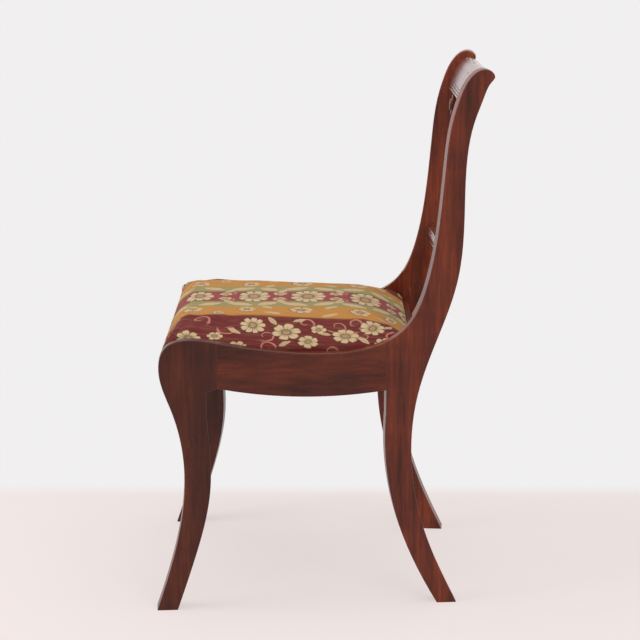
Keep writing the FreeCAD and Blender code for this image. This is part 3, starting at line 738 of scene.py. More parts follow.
@dataclass(frozen=True)
class FiguredCover(Finish):
    """Coarse figured weave: wide stripes with flowers, leaves and curled stems."""

    name: str
    burgundy: Colour = (0.148, 0.018, 0.019)
    gold: Colour = (0.50, 0.225, 0.045)
    green: Colour = (0.290, 0.265, 0.105)
    rose: Colour = (0.270, 0.046, 0.052)
    cream: Colour = (0.66, 0.49, 0.275)
    blush: Colour = (0.50, 0.20, 0.145)
    brown: Colour = (0.075, 0.038, 0.030)
    rose_half: float = 0.040
    green_end: float = 0.081
    gold_end: float = 0.142
    stripe_blur: float = 0.0035
    thread_pitch: float = 0.0013
    thread_depth: float = 0.0004
    # Flowers of the burgundy border, the rose stripe and the gold stripes
    border: tuple[Blossom, ...] = (
        Blossom(0.170, -0.108, 0.021, 9, 0.4), Blossom(0.184, -0.056, 0.024, 6, 0.9),
        Blossom(0.174, -0.006, 0.013, 5, 0.2), Blossom(0.209, -0.022, 0.017, 6, 1.4),
        Blossom(0.190, 0.036, 0.022, 7, 0.5), Blossom(0.165, 0.078, 0.021, 8, 1.1),
        Blossom(0.212, -0.206, 0.020, 7, 0.3), Blossom(0.203, -0.166, 0.013, 6, 0.0),
        Blossom(0.208, 0.096, 0.016, 6, 0.8), Blossom(0.229, -0.130, 0.015, 6, 0.6),
        Blossom(0.182, -0.258, 0.019, 7, 0.7), Blossom(0.178, 0.150, 0.017, 6, 0.1),
    )
    roses: tuple[Blossom, ...] = (
        Blossom(0.003, -0.112, 0.044, 9, 0.5, 1.6), Blossom(0.002, -0.024, 0.048, 11, 0.2, 1.55),
        Blossom(0.003, 0.070, 0.044, 9, 0.9, 1.6), Blossom(0.002, -0.200, 0.036, 8, 0.1, 1.5),
        Blossom(0.020, -0.070, 0.013, 5, 0.1), Blossom(0.020, 0.022, 0.013, 5, 0.7),
        Blossom(0.018, -0.158, 0.012, 5, 1.2), Blossom(0.020, 0.116, 0.013, 5, 0.3),
        Blossom(0.003, -0.276, 0.036, 9, 0.4, 1.5), Blossom(0.003, 0.156, 0.034, 8, 0.6, 1.5),
    )
    sprays: tuple[Blossom, ...] = (
        Blossom(0.102, -0.120, 0.018, 8, 0.1, 1.2), Blossom(0.108, -0.034, 0.020, 7, 0.6),
        Blossom(0.110, 0.060, 0.019, 6, 0.2, 1.1), Blossom(0.104, -0.205, 0.017, 5, 0.9),
        Blossom(0.128, -0.164, 0.010, 5, 0.4), Blossom(0.096, 0.112, 0.014, 6, 0.7),
        Blossom(0.112, -0.268, 0.018, 6, 0.3), Blossom(0.112, 0.160, 0.016, 7, 0.5),
    )
    # Leaves on both sides of the rose stripe, then among the other flowers
    leaves: tuple[Leaf, ...] = (
        Leaf(0.062, -0.132, 0.050, 0.022, 0.45), Leaf(0.058, -0.088, 0.048, 0.020, -0.7),
        Leaf(0.064, -0.044, 0.052, 0.022, 0.5), Leaf(0.060, 0.004, 0.050, 0.021, -0.6),
        Leaf(0.064, 0.050, 0.052, 0.022, 0.45), Leaf(0.058, 0.096, 0.046, 0.020, -0.7),
        Leaf(0.062, -0.180, 0.046, 0.020, -0.5), Leaf(0.042, -0.066, 0.034, 0.013, 1.2),
        Leaf(0.042, 0.028, 0.034, 0.013, -1.2), Leaf(0.042, -0.152, 0.032, 0.012, 1.0),
        Leaf(0.086, -0.088, 0.030, 0.011, 0.9), Leaf(0.088, 0.014, 0.032, 0.011, -0.8),
        Leaf(0.128, -0.080, 0.034, 0.011, 0.4), Leaf(0.130, 0.012, 0.034, 0.011, -0.5),
        Leaf(0.128, 0.098, 0.032, 0.010, 0.5), Leaf(0.156, -0.078, 0.024, 0.010, 1.0),
        Leaf(0.158, 0.104, 0.026, 0.010, -0.8), Leaf(0.200, 0.064, 0.028, 0.011, 0.9),
        Leaf(0.216, -0.058, 0.026, 0.010, -0.7), Leaf(0.152, -0.036, 0.024, 0.009, -0.4),
        Leaf(0.186, -0.136, 0.028, 0.010, 0.6), Leaf(0.186, 0.004, 0.022, 0.009, 0.2),
        Leaf(0.062, -0.232, 0.048, 0.020, 0.5), Leaf(0.060, -0.276, 0.044, 0.019, -0.5),
        Leaf(0.062, 0.142, 0.046, 0.020, 0.4), Leaf(0.156, -0.232, 0.028, 0.011, -0.6),
    )
    # Curled stems of the border, then of the rose stripe
    curls: tuple[Curl, ...] = (
        Curl(0.196, -0.088, 0.014, 2.2), Curl(0.158, -0.026, 0.011, 0.6),
        Curl(0.164, 0.024, 0.015, 2.8), Curl(0.188, 0.064, 0.013, 4.4),
        Curl(0.154, 0.050, 0.011, 1.2), Curl(0.190, 0.112, 0.013, 5.2),
        Curl(0.182, -0.146, 0.014, 3.6), Curl(0.226, -0.086, 0.012, 0.4),
        Curl(0.230, 0.014, 0.013, 2.0), Curl(0.230, 0.062, 0.012, 3.4),
        Curl(0.162, -0.190, 0.013, 1.0), Curl(0.024, -0.154, 0.011, 1.4),
        Curl(0.026, -0.066, 0.012, 4.0), Curl(0.024, 0.030, 0.012, 2.4),
        Curl(0.026, 0.118, 0.011, 0.2),
    )

    def build(self, graph: Graph) -> None:
        """Build the nodes.

        Args:
            graph: Empty node tree.
        """
        cloth = graph.node("ShaderNodeAttribute", {"attribute_name": CLOTH_PLACE}, output="Vector")
        wander = graph.noise(cloth, 90.0, 1.0)
        stitch = self.thread_pitch * 0.8
        snapped = graph.node("ShaderNodeVectorMath", {"operation": "SNAP"}, {
            0: cloth, 1: (stitch, stitch, 1.0)})
        across, along, _ = graph.parts(snapped)
        ragged = (wander - 0.5) * 0.0042
        place = graph.node("ShaderNodeCombineXYZ", inputs={
            0: abs(across) + ragged, 1: along + ragged})
        ground = self._stripes(graph, abs(across) + (wander - 0.5) * 0.003, cloth)
        flowers = self.border + self.sprays + self.roses
        petals, lines, hearts = draw_blossoms(graph, place, flowers)
        blades, midribs = draw_leaves(graph, place, self.leaves)
        stems = draw_curls(graph, place, self.curls)
        thread = self._thread(graph, cloth)
        cream = graph.mix(thread * 0.35, self.cream, dimmed(self.cream, 0.7))
        tint = graph.mix(stems, ground, self.blush)
        tint = graph.mix(blades * 0.85, tint, cream)
        tint = graph.mix(midribs * 0.6, tint, self.green)
        tint = graph.mix(petals, tint, cream)
        tint = graph.mix(hearts * 0.45, tint, self.gold)
        tint = graph.mix(lines * 0.74, tint, self.brown)
        # Painted shade darkens the gaps between threads towards brown, together with patches of
        # soil.
        soiled = graph.noise(cloth, 16.0, 3.0).step(0.55, 0.8)
        tint = graph.mix((1.0 - thread) * 0.22 + soiled * 0.10, tint, self.brown)
        graph.surface(
            Base_Color=tint, Roughness=0.82 + thread * 0.08,
            Normal=graph.bump(thread, self.thread_depth, 0.8), Specular_IOR_Level=0.12,
            Sheen_Weight=0.04, Sheen_Roughness=0.5,
        )

    def _stripes(self, graph: Graph, u: Value, cloth: Value) -> Value:
        """Ground of the stripes, from the middle outwards.

        Args:
            graph: Node tree.
            u: Distance from the middle of the cloth.
            cloth: Place on the cloth.

        Returns:
            Colour of the ground.
        """
        tint, soft = self.rose, self.stripe_blur
        for end, colour in ((self.rose_half, self.green), (self.green_end, self.gold),
                            (self.gold_end, self.burgundy)):
            tint = graph.mix(u.step(end - soft, end + soft), tint, colour)
        fade = graph.noise(graph.scaled(cloth, (1.0, 0.15, 1.0)), 160.0, 3.0, 0.6)
        return graph.mix(fade.step(0.40, 0.85) * 0.3, tint, dimmed(self.cream, 0.5))

    def _thread(self, graph: Graph, cloth: Value) -> Value:
        """Threads of the weave, from 0 between them to 1 on top.

        Args:
            graph: Node tree.
            cloth: Place on the cloth.

        Returns:
            Height of the threads.
        """
        across, along, _ = graph.parts(cloth)
        rate = math.pi / self.thread_pitch
        weft = abs((along * rate).math("SINE"))
        row = (along / self.thread_pitch).math("FLOOR") * (math.pi / 2.0)
        warp = abs((across * (rate * 0.7) + row).math("SINE"))
        slub = graph.noise(graph.scaled(cloth, (0.12, 1.0, 1.0)), 700.0, 2.0)
        return weft * 0.45 + warp * 0.3 + slub * 0.25


@dataclass(frozen=True)
class StudioFloor(Finish):
    """Pale floor that runs up to a paler wall."""

    name: str
    floor: Colour = (0.865, 0.785, 0.765)
    wall: Colour = (0.880, 0.866, 0.868)
    wall_x: float = -0.40
    blend: float = 0.09
    own_glow: float = 0.68

    def build(self, graph: Graph) -> None:
        """Build the nodes.

        Args:
            graph: Empty node tree.
        """
        place = graph.place()
        x, _, _ = graph.parts(place)
        far = x.step(self.wall_x + self.blend / 2.0, self.wall_x - self.blend / 2.0)
        marks = graph.noise(place, 7.0, 4.0, 0.6)
        tint = graph.mix(marks.step(0.5, 0.8) * 0.12, self.floor, dimmed(self.floor, 0.93))
        lit = graph.node("ShaderNodeBsdfDiffuse", inputs={"Color": tint})
        glow = graph.node("ShaderNodeEmission", inputs={"Color": tint})
        flat = graph.node("ShaderNodeEmission", inputs={"Color": self.wall})
        seen = seen_ray(graph)
        near = graph.node("ShaderNodeMixShader", inputs={
            0: seen * self.own_glow, 1: lit, 2: glow})
        graph.output(graph.node("ShaderNodeMixShader", inputs={0: far * seen, 1: near, 2: flat}))


def seen_ray(graph: Graph) -> Value:
    """One for rays of the camera, of reflections and through glass.

    Args:
        graph: Node tree.

    Returns:
        Mask of those rays.
    """
    path = graph.add("ShaderNodeLightPath")
    camera, glossy, through = [Value(graph, path.outputs[f"Is {kind} Ray"])
                               for kind in ("Camera", "Glossy", "Transmission")]
    return camera | glossy | through


def half_width_line() -> Callable[[float], float]:
    """Half of the clear width between the side frames, as a function of y.

    Returns:
        Function from y to that half width.
    """
    low_f, high_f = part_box("front_rail")
    low_r, high_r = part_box("rear_rail")
    slope = (high_r.x - high_f.x) / (low_r.y - low_f.y)
    return lambda y: high_f.x + (y - low_f.y) * slope


def seat_piece(name: str, mesh: bpy.types.Mesh, finish: Finish) -> bpy.types.Object:
    """Put a mesh in the scene as a piece of the seat.

    Args:
        name: Name of the piece.
        mesh: Its mesh.
        finish: Its finish.

    Returns:
        The new object.
    """
    piece = bpy.data.objects.new(name, mesh)
    bpy.context.scene.collection.objects.link(piece)
    mesh.materials.clear()
    mesh.materials.append(finish.material())
    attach(piece, "seat")
    log.info("%s: %d faces", name, len(mesh.polygons))
    return piece


def mesh_from(name: str, builder: bmesh.types.BMesh) -> bpy.types.Mesh:
    """Turn bmesh data into a smooth mesh.

    Args:
        name: Name of the mesh.
        builder: The data, which is freed.

    Returns:
        The mesh, with its faces turned outwards.
    """
    bmesh.ops.recalc_face_normals(builder, faces=builder.faces)
    mesh = bpy.data.meshes.new(name)
    builder.to_mesh(mesh)
    builder.free()
    mesh.shade_smooth()
    return mesh


def evaluated(piece: bpy.types.Object) -> bpy.types.Mesh:
    """Mesh of an object with its modifiers applied.

    Args:
        piece: The object.

    Returns:
        A new mesh.
    """
    graph = bpy.context.evaluated_depsgraph_get()
    return bpy.data.meshes.new_from_object(piece.evaluated_get(graph), depsgraph=graph)


def modified(mesh: bpy.types.Mesh, *steps: tuple[str, dict[str, object]]) -> bpy.types.Mesh:
    """Mesh after a row of modifiers.

    Args:
        mesh: Mesh to start from.
        steps: Type and settings of each modifier.

    Returns:
        A new mesh.
    """
    work = bpy.data.objects.new("work", mesh)
    bpy.context.scene.collection.objects.link(work)
    for kind, settings in steps:
        modifier = work.modifiers.new(kind.lower(), kind)
        for name, setting in settings.items():
            setattr(modifier, name, setting)
    result = evaluated(work)
    bpy.data.objects.remove(work)
    return result


def points_of(mesh: bpy.types.Mesh) -> np.ndarray:
    """Places of a mesh's points.

    Args:
        mesh: The mesh.

    Returns:
        Array of one row for each point.
    """
    flat = np.zeros(len(mesh.vertices) * 3)
    mesh.vertices.foreach_get("co", flat)
    return flat.reshape(-1, 3)


def normals_of(mesh: bpy.types.Mesh) -> np.ndarray:
    """Normals of a mesh's points.

    Args:
        mesh: The mesh.

    Returns:
        Array of one row for each point.
    """
    flat = np.zeros(len(mesh.vertices) * 3)
    mesh.vertex_normals.foreach_get("vector", flat)
    return flat.reshape(-1, 3)


def move_points(mesh: bpy.types.Mesh, points: np.ndarray) -> None:
    """Give a mesh's points new places.

    Args:
        mesh: The mesh.
        points: Array of one row for each point.
    """
    mesh.vertices.foreach_set("co", points.reshape(-1))
    mesh.update()


@dataclass(frozen=True)
class Board:
    """Cut and polish of the boards whose names begin alike."""

    start: str
    grain: Grain
    tone: float = 1.0
    gloss: float = 0.22


@dataclass
class Woodwork:
    """Polished frame of the chair, with its blocks, dowels, pins, screws and strings."""

    boards: tuple[Board, ...] = (
        Board("front_leg", Grain.UP, tone=0.64), Board("rear_leg", Grain.UP, tone=1.46),
        Board("lyre_arm", Grain.UP), Board("side_rail", Grain.BACK, tone=0.97),
        Board("front_rail", Grain.ACROSS), Board("rear_rail", Grain.ACROSS),
        Board("crest_rail", Grain.ACROSS, gloss=1.0), Board("stay_rail", Grain.ACROSS, gloss=1.0),
        Board("lyre_base", Grain.ACROSS), Board("lyre_yoke", Grain.ACROSS),
        Board("lyre_bosses", Grain.BACK),
    )
    block_dark: Colour = (0.22, 0.13, 0.065)
    block_light: Colour = (0.42, 0.28, 0.155)
    dowel_dark: Colour = (0.36, 0.24, 0.13)
    dowel_light: Colour = (0.55, 0.40, 0.24)
    steel: Metal = Metal("screw_steel", (0.42, 0.41, 0.40), (0.14, 0.10, 0.075), 0.35)
    brass: Metal = Metal("string_brass", (0.72, 0.50, 0.20), (0.32, 0.20, 0.08), 0.22)

    def dress(self) -> None:
        """Give every node of the frame its finish."""
        for board in self.boards:
            name = f"mahogany_{board.start}"
            dress_nodes(board.start, Mahogany(name, board.grain, board.tone, board.gloss))
        pale = BareWood("block_wood", Grain.ACROSS, self.block_dark, self.block_light)
        turned = BareWood("dowel_wood", Grain.ACROSS, self.dowel_dark, self.dowel_light)
        for start, finish in (("corner_block", pale), ("dowels", turned), ("lyre_pins", turned),
                              ("corner_screws", self.steel), ("lyre_strings", self.brass)):
            dress_nodes(start, finish)


def dress_nodes(start: str, finish: Finish) -> None:
    """Give the nodes whose names begin like this a finish.

    Args:
        start: Beginning of their names.
        finish: The finish.
    """
    for name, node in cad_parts.items():
        if name.startswith(start):
            node.data.materials.clear()
            node.data.materials.append(finish.material())
            log.info("%s: %s", name, finish.name)


@dataclass
class SeatCushion:
    """Stuffed seat under its woven cover, from its own simulation.

    The swell gives rings of the unpressed seat: distance inwards from its edge, and drop
    below its crown.
    """

    # Plan of the seat and its place on the ledge of the side frames
    side_ledge: float = 0.0132
    slack: float = 0.0006
    corner_round: float = 0.017
    corner_loosening: float = 0.024
    widest_inset: float = 0.190
    front_reach: float = 0.150
    front_steepness: float = 0.35
    corner_steps: int = 8
    side_steps: int = 34
    # Levels of the unpressed seat
    foot_round: float = 0.002
    under_ring: float = 0.060
    bar_top: float = 0.4135
    swell: tuple[tuple[float, float], ...] = (
        (0.001, 0.034), (0.004, 0.0285), (0.009, 0.0245), (0.016, 0.0215), (0.026, 0.0185),
        (0.042, 0.0145), (0.062, 0.0105), (0.088, 0.0070), (0.118, 0.0048), (0.150, 0.0036),
        (0.172, 0.0034),
    )
    # Pressing out
    voxel: float = 0.0055
    pressure: float = 4.0
    stiffness: float = 25.0
    bending: float = 3.0
    most_swell: float = 0.005
    room_above: float = 0.001
    frames: int = 20
    smoothing: int = 10
    # Hold of the seat frame on the cover
    free_height: float = 0.020
    frame_zone: float = 0.012
    frame_blend: float = 0.006
    hem_height: float = 0.004
    turn_under: float = 0.022
    # Folded corners: direction and depth share of each fold
    pleats: tuple[tuple[float, float], ...] = ((0.55, 1.0), (1.15, 0.7))
    pleat_inset: float = 0.004
    pleat_start: float = 0.002
    pleat_depth: float = 0.0028
    pleat_width: float = 0.0022
    pleat_reach: float = 0.055
    lip_offset: float = 0.0045
    lip_width: float = 0.003
    # Uneven stuffing: fineness and depth of each layer, and the worn front edge
    ripples: tuple[tuple[float, float], ...] = ((17.0, 0.0016), (60.0, 0.0003))
    front_rise: float = 0.010
    front_lean: float = 0.005
    # Cloth and where it folds down
    cloth_thickness: float = 0.0014
    stuffing_gap: float = 0.0008
    edge_z: float = 0.436
    fold_y: float = -0.05

    def __post_init__(self) -> None:
        """Read the room for the seat from the solids."""
        self.low, self.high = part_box("seat_cover")
        clear = half_width_line()
        ledge = self.side_ledge - self.slack
        self.half_width: Callable[[float], float] = lambda y: clear(y) + ledge

    def outline(self, inset: float) -> list[tuple[float, float]]:
        """Plan of the seat, this far inside its largest outline.

        Args:
            inset: Distance inwards.

        Returns:
            Points round the plan.
        """
        steep = self.front_steepness
        front = self.low.y + inset * (steep + (1.0 - steep) * min(1.0, inset / self.front_reach))
        back = self.high.y - inset
        corners = [
            Vector((-self.half_width(front) + inset, front)),
            Vector((self.half_width(front) - inset, front)),
            Vector((self.half_width(back) - inset, back)),
            Vector((-self.half_width(back) + inset, back)),
        ]
        loosened = self.corner_round + 0.5 * min(inset, self.corner_loosening)
        radius = min(loosened, 0.8 * (self.widest_inset - inset))
        points = []
        for index, corner in enumerate(corners):
            before = (corners[index - 1] - corner).normalized()
            after = (corners[(index + 1) % 4] - corner).normalized()
            half = before.angle(after) / 2.0
            centre = corner + (before + after).normalized() * (radius / math.sin(half))
            first = corner + before * (radius / math.tan(half)) - centre
            last = corner + after * (radius / math.tan(half)) - centre
            for step in range(self.corner_steps + 1):
                turned = first.normalized().slerp(last.normalized(), step / self.corner_steps)
                points.append(centre + turned * radius)
            start = centre + last
            end = corners[(index + 1) % 4] - after * (radius / math.tan(half))
            for step in range(1, self.side_steps):
                points.append(start.lerp(end, step / self.side_steps))
        return [(point.x, point.y) for point in points]

    def block(self) -> bpy.types.Mesh:
        """Smaller form of the cushion, from which it swells.

        Returns:
            Closed mesh.
        """
        levels = [(self.turn_under + self.under_ring, self.low.z), (self.turn_under, self.low.z),
                  (self.foot_round, self.low.z), (0.0, self.low.z + self.foot_round),
                  (0.0, self.bar_top)]
        levels += [(inward, self.high.z - drop) for inward, drop in self.swell]
        builder = bmesh.new()
        rings = []
        for inward, z in levels:
            rings.append([builder.verts.new((x, y, z)) for x, y in self.outline(inward)])
        for low, high in zip(rings, rings[1:]):
            join_rings(builder, low, high)
        builder.faces.new(rings[0][::-1])
        builder.faces.new(rings[-1])
        return mesh_from("cushion_block", builder)

    def swollen(self) -> bpy.types.Mesh:
        """Mesh of the cushion after its stuffing has pressed the cover out.

        Returns:
            Closed mesh within the room that the seat has.
        """
        even = modified(self.block(), ("REMESH", {"mode": "VOXEL", "voxel_size": self.voxel}))
        start = points_of(even)
        swollen = self._pressed(even)
        moved = points_of(swollen) - start
        reach = np.linalg.norm(moved, axis=1, keepdims=True)
        moved *= np.minimum(1.0, self.most_swell / np.maximum(reach, 1e-9))
        move_points(swollen, self._kept_in(start + moved))
        return swollen

    def _pressed(self, mesh: bpy.types.Mesh) -> bpy.types.Mesh:
        """Run the cloth simulation.

        Args:
            mesh: Mesh to be pressed out.

        Returns:
            The mesh at the end of the simulation.
        """
        piece = bpy.data.objects.new("cushion_press", mesh)
        bpy.context.scene.collection.objects.link(piece)
        held = piece.vertex_groups.new(name="held")
        below = np.nonzero(points_of(mesh)[:, 2] < self.bar_top)[0]
        held.add([int(index) for index in below], 1.0, "REPLACE")
        cloth = piece.modifiers.new("press", "CLOTH")
        cloth.settings.use_pressure = True
        cloth.settings.uniform_pressure_force = self.pressure
        cloth.settings.vertex_group_mass = held.name
        cloth.settings.tension_stiffness = self.stiffness
        cloth.settings.compression_stiffness = self.stiffness
        cloth.settings.bending_stiffness = self.bending
        cloth.settings.effector_weights.gravity = 0.0
        cloth.point_cache.frame_start = 1
        cloth.point_cache.frame_end = self.frames
        for step in range(1, self.frames + 1):
            bpy.context.scene.frame_set(step)
        pressed = evaluated(piece)
        bpy.data.objects.remove(piece)
        return pressed

    def _kept_in(self, points: np.ndarray) -> np.ndarray:
        """Hold points within the seat's room.

        Args:
            points: Places of the points.

        Returns:
            Places within the room.
        """
        kept = points.copy()
        kept[:, 1] = np.clip(kept[:, 1], self.low.y, self.high.y)
        wide = self.half_width(kept[:, 1])
        kept[:, 0] = np.clip(kept[:, 0], -wide, wide)
        kept[:, 2] = np.clip(kept[:, 2], self.low.z, self.high.z + self.room_above)
        return kept

    def finished(self) -> bpy.types.Mesh:
        """Mesh of the cushion's outer surface, with its pleats, ripples and worn front.

        Returns:
            Closed mesh with the attribute of its place on the cloth.
        """
        mesh = modified(
            self.swollen(),
            ("SMOOTH", {"factor": 0.5, "iterations": self.smoothing}),
            ("SUBSURF", {"levels": 1}),
        )
        points = points_of(mesh)
        points += normals_of(mesh) * (self._pleats(points) + self._ripples(points))[:, None]
        points[:, 2] += self._front_rise(points)
        points = self._kept_in(self._squared(points))
        points[:, 1] += self._front_lean(points)
        move_points(mesh, points)
        self._lay_cloth(mesh)
        return mesh

    def _free(self, points: np.ndarray, height: float) -> np.ndarray:
        """How freely points move: 0 at the top of the bars and 1 from this height above it.

        Args:
            points: Places of the points.
            height: The height.

        Returns:
            Share of each point.
        """
        return np.clip((points[:, 2] - self.bar_top) / height, 0.0, 1.0)

    def _pleats(self, points: np.ndarray) -> np.ndarray:
        """Depth of the folded corners of the cover.

        Args:
            points: Places of the points.

        Returns:
            Offset along the normal of each point.
        """
        offset = np.zeros(len(points))
        for side in (-1.0, 1.0):
            for y, forward in ((self.low.y, 1.0), (self.high.y, -1.0)):
                corner_x = side * (self.half_width(y) - self.pleat_inset)
                corner_y = y + forward * self.pleat_inset
                away_x = (corner_x - points[:, 0]) * side
                away_y = (points[:, 1] - corner_y) * forward
                reach = np.hypot(away_x, away_y)
                near = np.clip(1.0 - reach / self.pleat_reach, 0.0, 1.0)
                near *= points[:, 2] > self.bar_top + self.pleat_start
                bulk = 0.5 * self.pleat_depth * np.exp(-(reach / (0.4 * self.pleat_reach)) ** 2)
                for lean, share in self.pleats:
                    line = away_x * math.sin(lean) - away_y * math.cos(lean)
                    fold = np.exp(-(line / self.pleat_width) ** 2)
                    lip = np.exp(-((line - self.lip_offset) / self.lip_width) ** 2)
                    offset += near * share * self.pleat_depth * (0.45 * lip - fold)
                offset += bulk * (points[:, 2] > self.bar_top)
        return offset

    def _front_rise(self, points: np.ndarray) -> np.ndarray:
        """Rise of the seat towards its front edge.

        Args:
            points: Places of the points.

        Returns:
            Rise of each point.
        """
        forward = np.clip((self.high.y - points[:, 1]) / (self.high.y - self.low.y), 0.0, 1.0)
        return self.front_rise * forward ** 1.5 * self._free(points, self.free_height)

    def _front_lean(self, points: np.ndarray) -> np.ndarray:
        """Shift of the worn front edge, back at its left end and forward at its right end.

        Args:
            points: Places of the points.

        Returns:
            Shift of each point along y.
        """
        near = np.clip(1.0 - (points[:, 1] - self.low.y) / self.front_reach, 0.0, 1.0)
        side = points[:, 0] / self.half_width(self.low.y)
        return self.front_lean * side * near * self._free(points, self.free_height)

    def _squared(self, points: np.ndarray) -> np.ndarray:
        """Press the upright sides and the underside flat against the seat frame.

        Args:
            points: Places of the points.

        Returns:
            Their places, with those beside the frame on the seat's outline.
        """
        radius = self.corner_round
        side = np.abs(points[:, 0]) - (self.half_width(points[:, 1]) - radius)
        ends = np.maximum(self.low.y + radius - points[:, 1], points[:, 1] - self.high.y + radius)
        out_x, out_y = np.maximum(side, 0.0), np.maximum(ends, 0.0)
        reach = np.hypot(out_x, out_y)
        gap = radius - reach
        near = (reach > 0.0) & (gap < self.frame_zone)
        hold = near * (1.0 - self._free(points, self.frame_blend))
        hold *= points[:, 2] > self.low.z + 0.9 * self.foot_round
        pushed = points.copy()
        scale = hold * gap / np.maximum(reach, 1e-6)
        pushed[:, 0] += np.sign(points[:, 0]) * out_x * scale
        middle_y = (self.low.y + self.high.y) / 2.0
        pushed[:, 1] += np.sign(points[:, 1] - middle_y) * out_y * scale
        under = points[:, 2] < self.low.z + self.hem_height
        pushed[:, 2] = np.where(under & ~near, self.low.z, pushed[:, 2])
        return pushed

    def _ripples(self, points: np.ndarray) -> np.ndarray:
        """Slight unevenness of the stuffing.

        Args:
            points: Places of the points.

        Returns:
            Offset along the normal of each point.
        """
        offset = np.zeros(len(points))
        for fineness, depth in self.ripples:
            layer = [noise.noise(Vector(point) * fineness) for point in points]
            offset += depth * np.array(layer)
        return offset * self._free(points, 0.75 * self.free_height)

    def _lay_cloth(self, mesh: bpy.types.Mesh) -> None:
        """Store each point's place on the flat cloth.

        Args:
            mesh: The cushion's mesh.
        """
        points = points_of(mesh)
        normals = np.abs(normals_of(mesh))
        drop = np.maximum(0.0, self.edge_z - points[:, 2])
        total = normals[:, 0] ** 2 + normals[:, 1] ** 2 + 1e-6
        cloth = points.copy()
        cloth[:, 0] += np.sign(points[:, 0]) * drop * normals[:, 0] ** 2 / total
        cloth[:, 1] += np.sign(points[:, 1] - self.fold_y) * drop * normals[:, 1] ** 2 / total
        cloth[:, 2] = 0.0
        store = mesh.attributes.new(CLOTH_PLACE, "FLOAT_VECTOR", "POINT")
        store.data.foreach_set("vector", cloth.reshape(-1))

    def make_cover(self, outer: bpy.types.Mesh) -> bpy.types.Object:
        """Woven cover with its edges turned under the seat frame.

        Args:
            outer: Closed outer surface.

        Returns:
            The piece.
        """
        builder = bmesh.new()
        builder.from_mesh(outer)
        under = [face for face in builder.faces if self._inside_opening(face.calc_center_median())]
        bmesh.ops.delete(builder, geom=under, context="FACES")
        skin = bpy.data.meshes.new("cover_skin")
        builder.to_mesh(skin)
        builder.free()
        cover = modified(skin, ("SOLIDIFY", {"thickness": self.cloth_thickness, "offset": -1.0}))
        cover.name = "seat_cover_woven"
        cover.shade_smooth()
        piece = seat_piece("seat_cover_woven", cover, FiguredCover("figured_cover"))
        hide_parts("seat_cover")
        return piece

    def _inside_opening(self, centre: Vector) -> bool:
        """Whether a place lies in the opening under the seat.

        Args:
            centre: The place.

        Returns:
            True inside the opening.
        """
        low = centre.z < self.low.z + self.hem_height
        deep = self.low.y + self.turn_under < centre.y < self.high.y - self.turn_under
        return low and deep and abs(centre.x) < self.half_width(centre.y) - self.turn_under

    def make_stuffing(self, outer: bpy.types.Mesh) -> bpy.types.Object:
        """Hair stuffing that fills the cover above the hessian.

        Args:
            outer: Closed outer surface.

        Returns:
            The piece.
        """
        floor_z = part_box("seat_pad")[0].z
        builder = bmesh.new()
        builder.from_mesh(outer)
        inwards = self.cloth_thickness + self.stuffing_gap
        points = points_of(outer) - normals_of(outer) * inwards
        for vertex, point in zip(builder.verts, points):
            vertex.co = point
        cut = bmesh.ops.bisect_plane(
            builder, geom=builder.verts[:] + builder.edges[:] + builder.faces[:],
            plane_co=(0.0, 0.0, floor_z), plane_no=(0.0, 0.0, 1.0), clear_inner=True,
        )
        rim = [item for item in cut["geom_cut"] if isinstance(item, bmesh.types.BMEdge)]
        bmesh.ops.holes_fill(builder, edges=rim, sides=0)
        mesh = mesh_from("seat_stuffing", builder)
        piece = seat_piece("seat_stuffing", mesh, Stuffing("hair_stuffing"))
        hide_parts("seat_pad")
        return piece


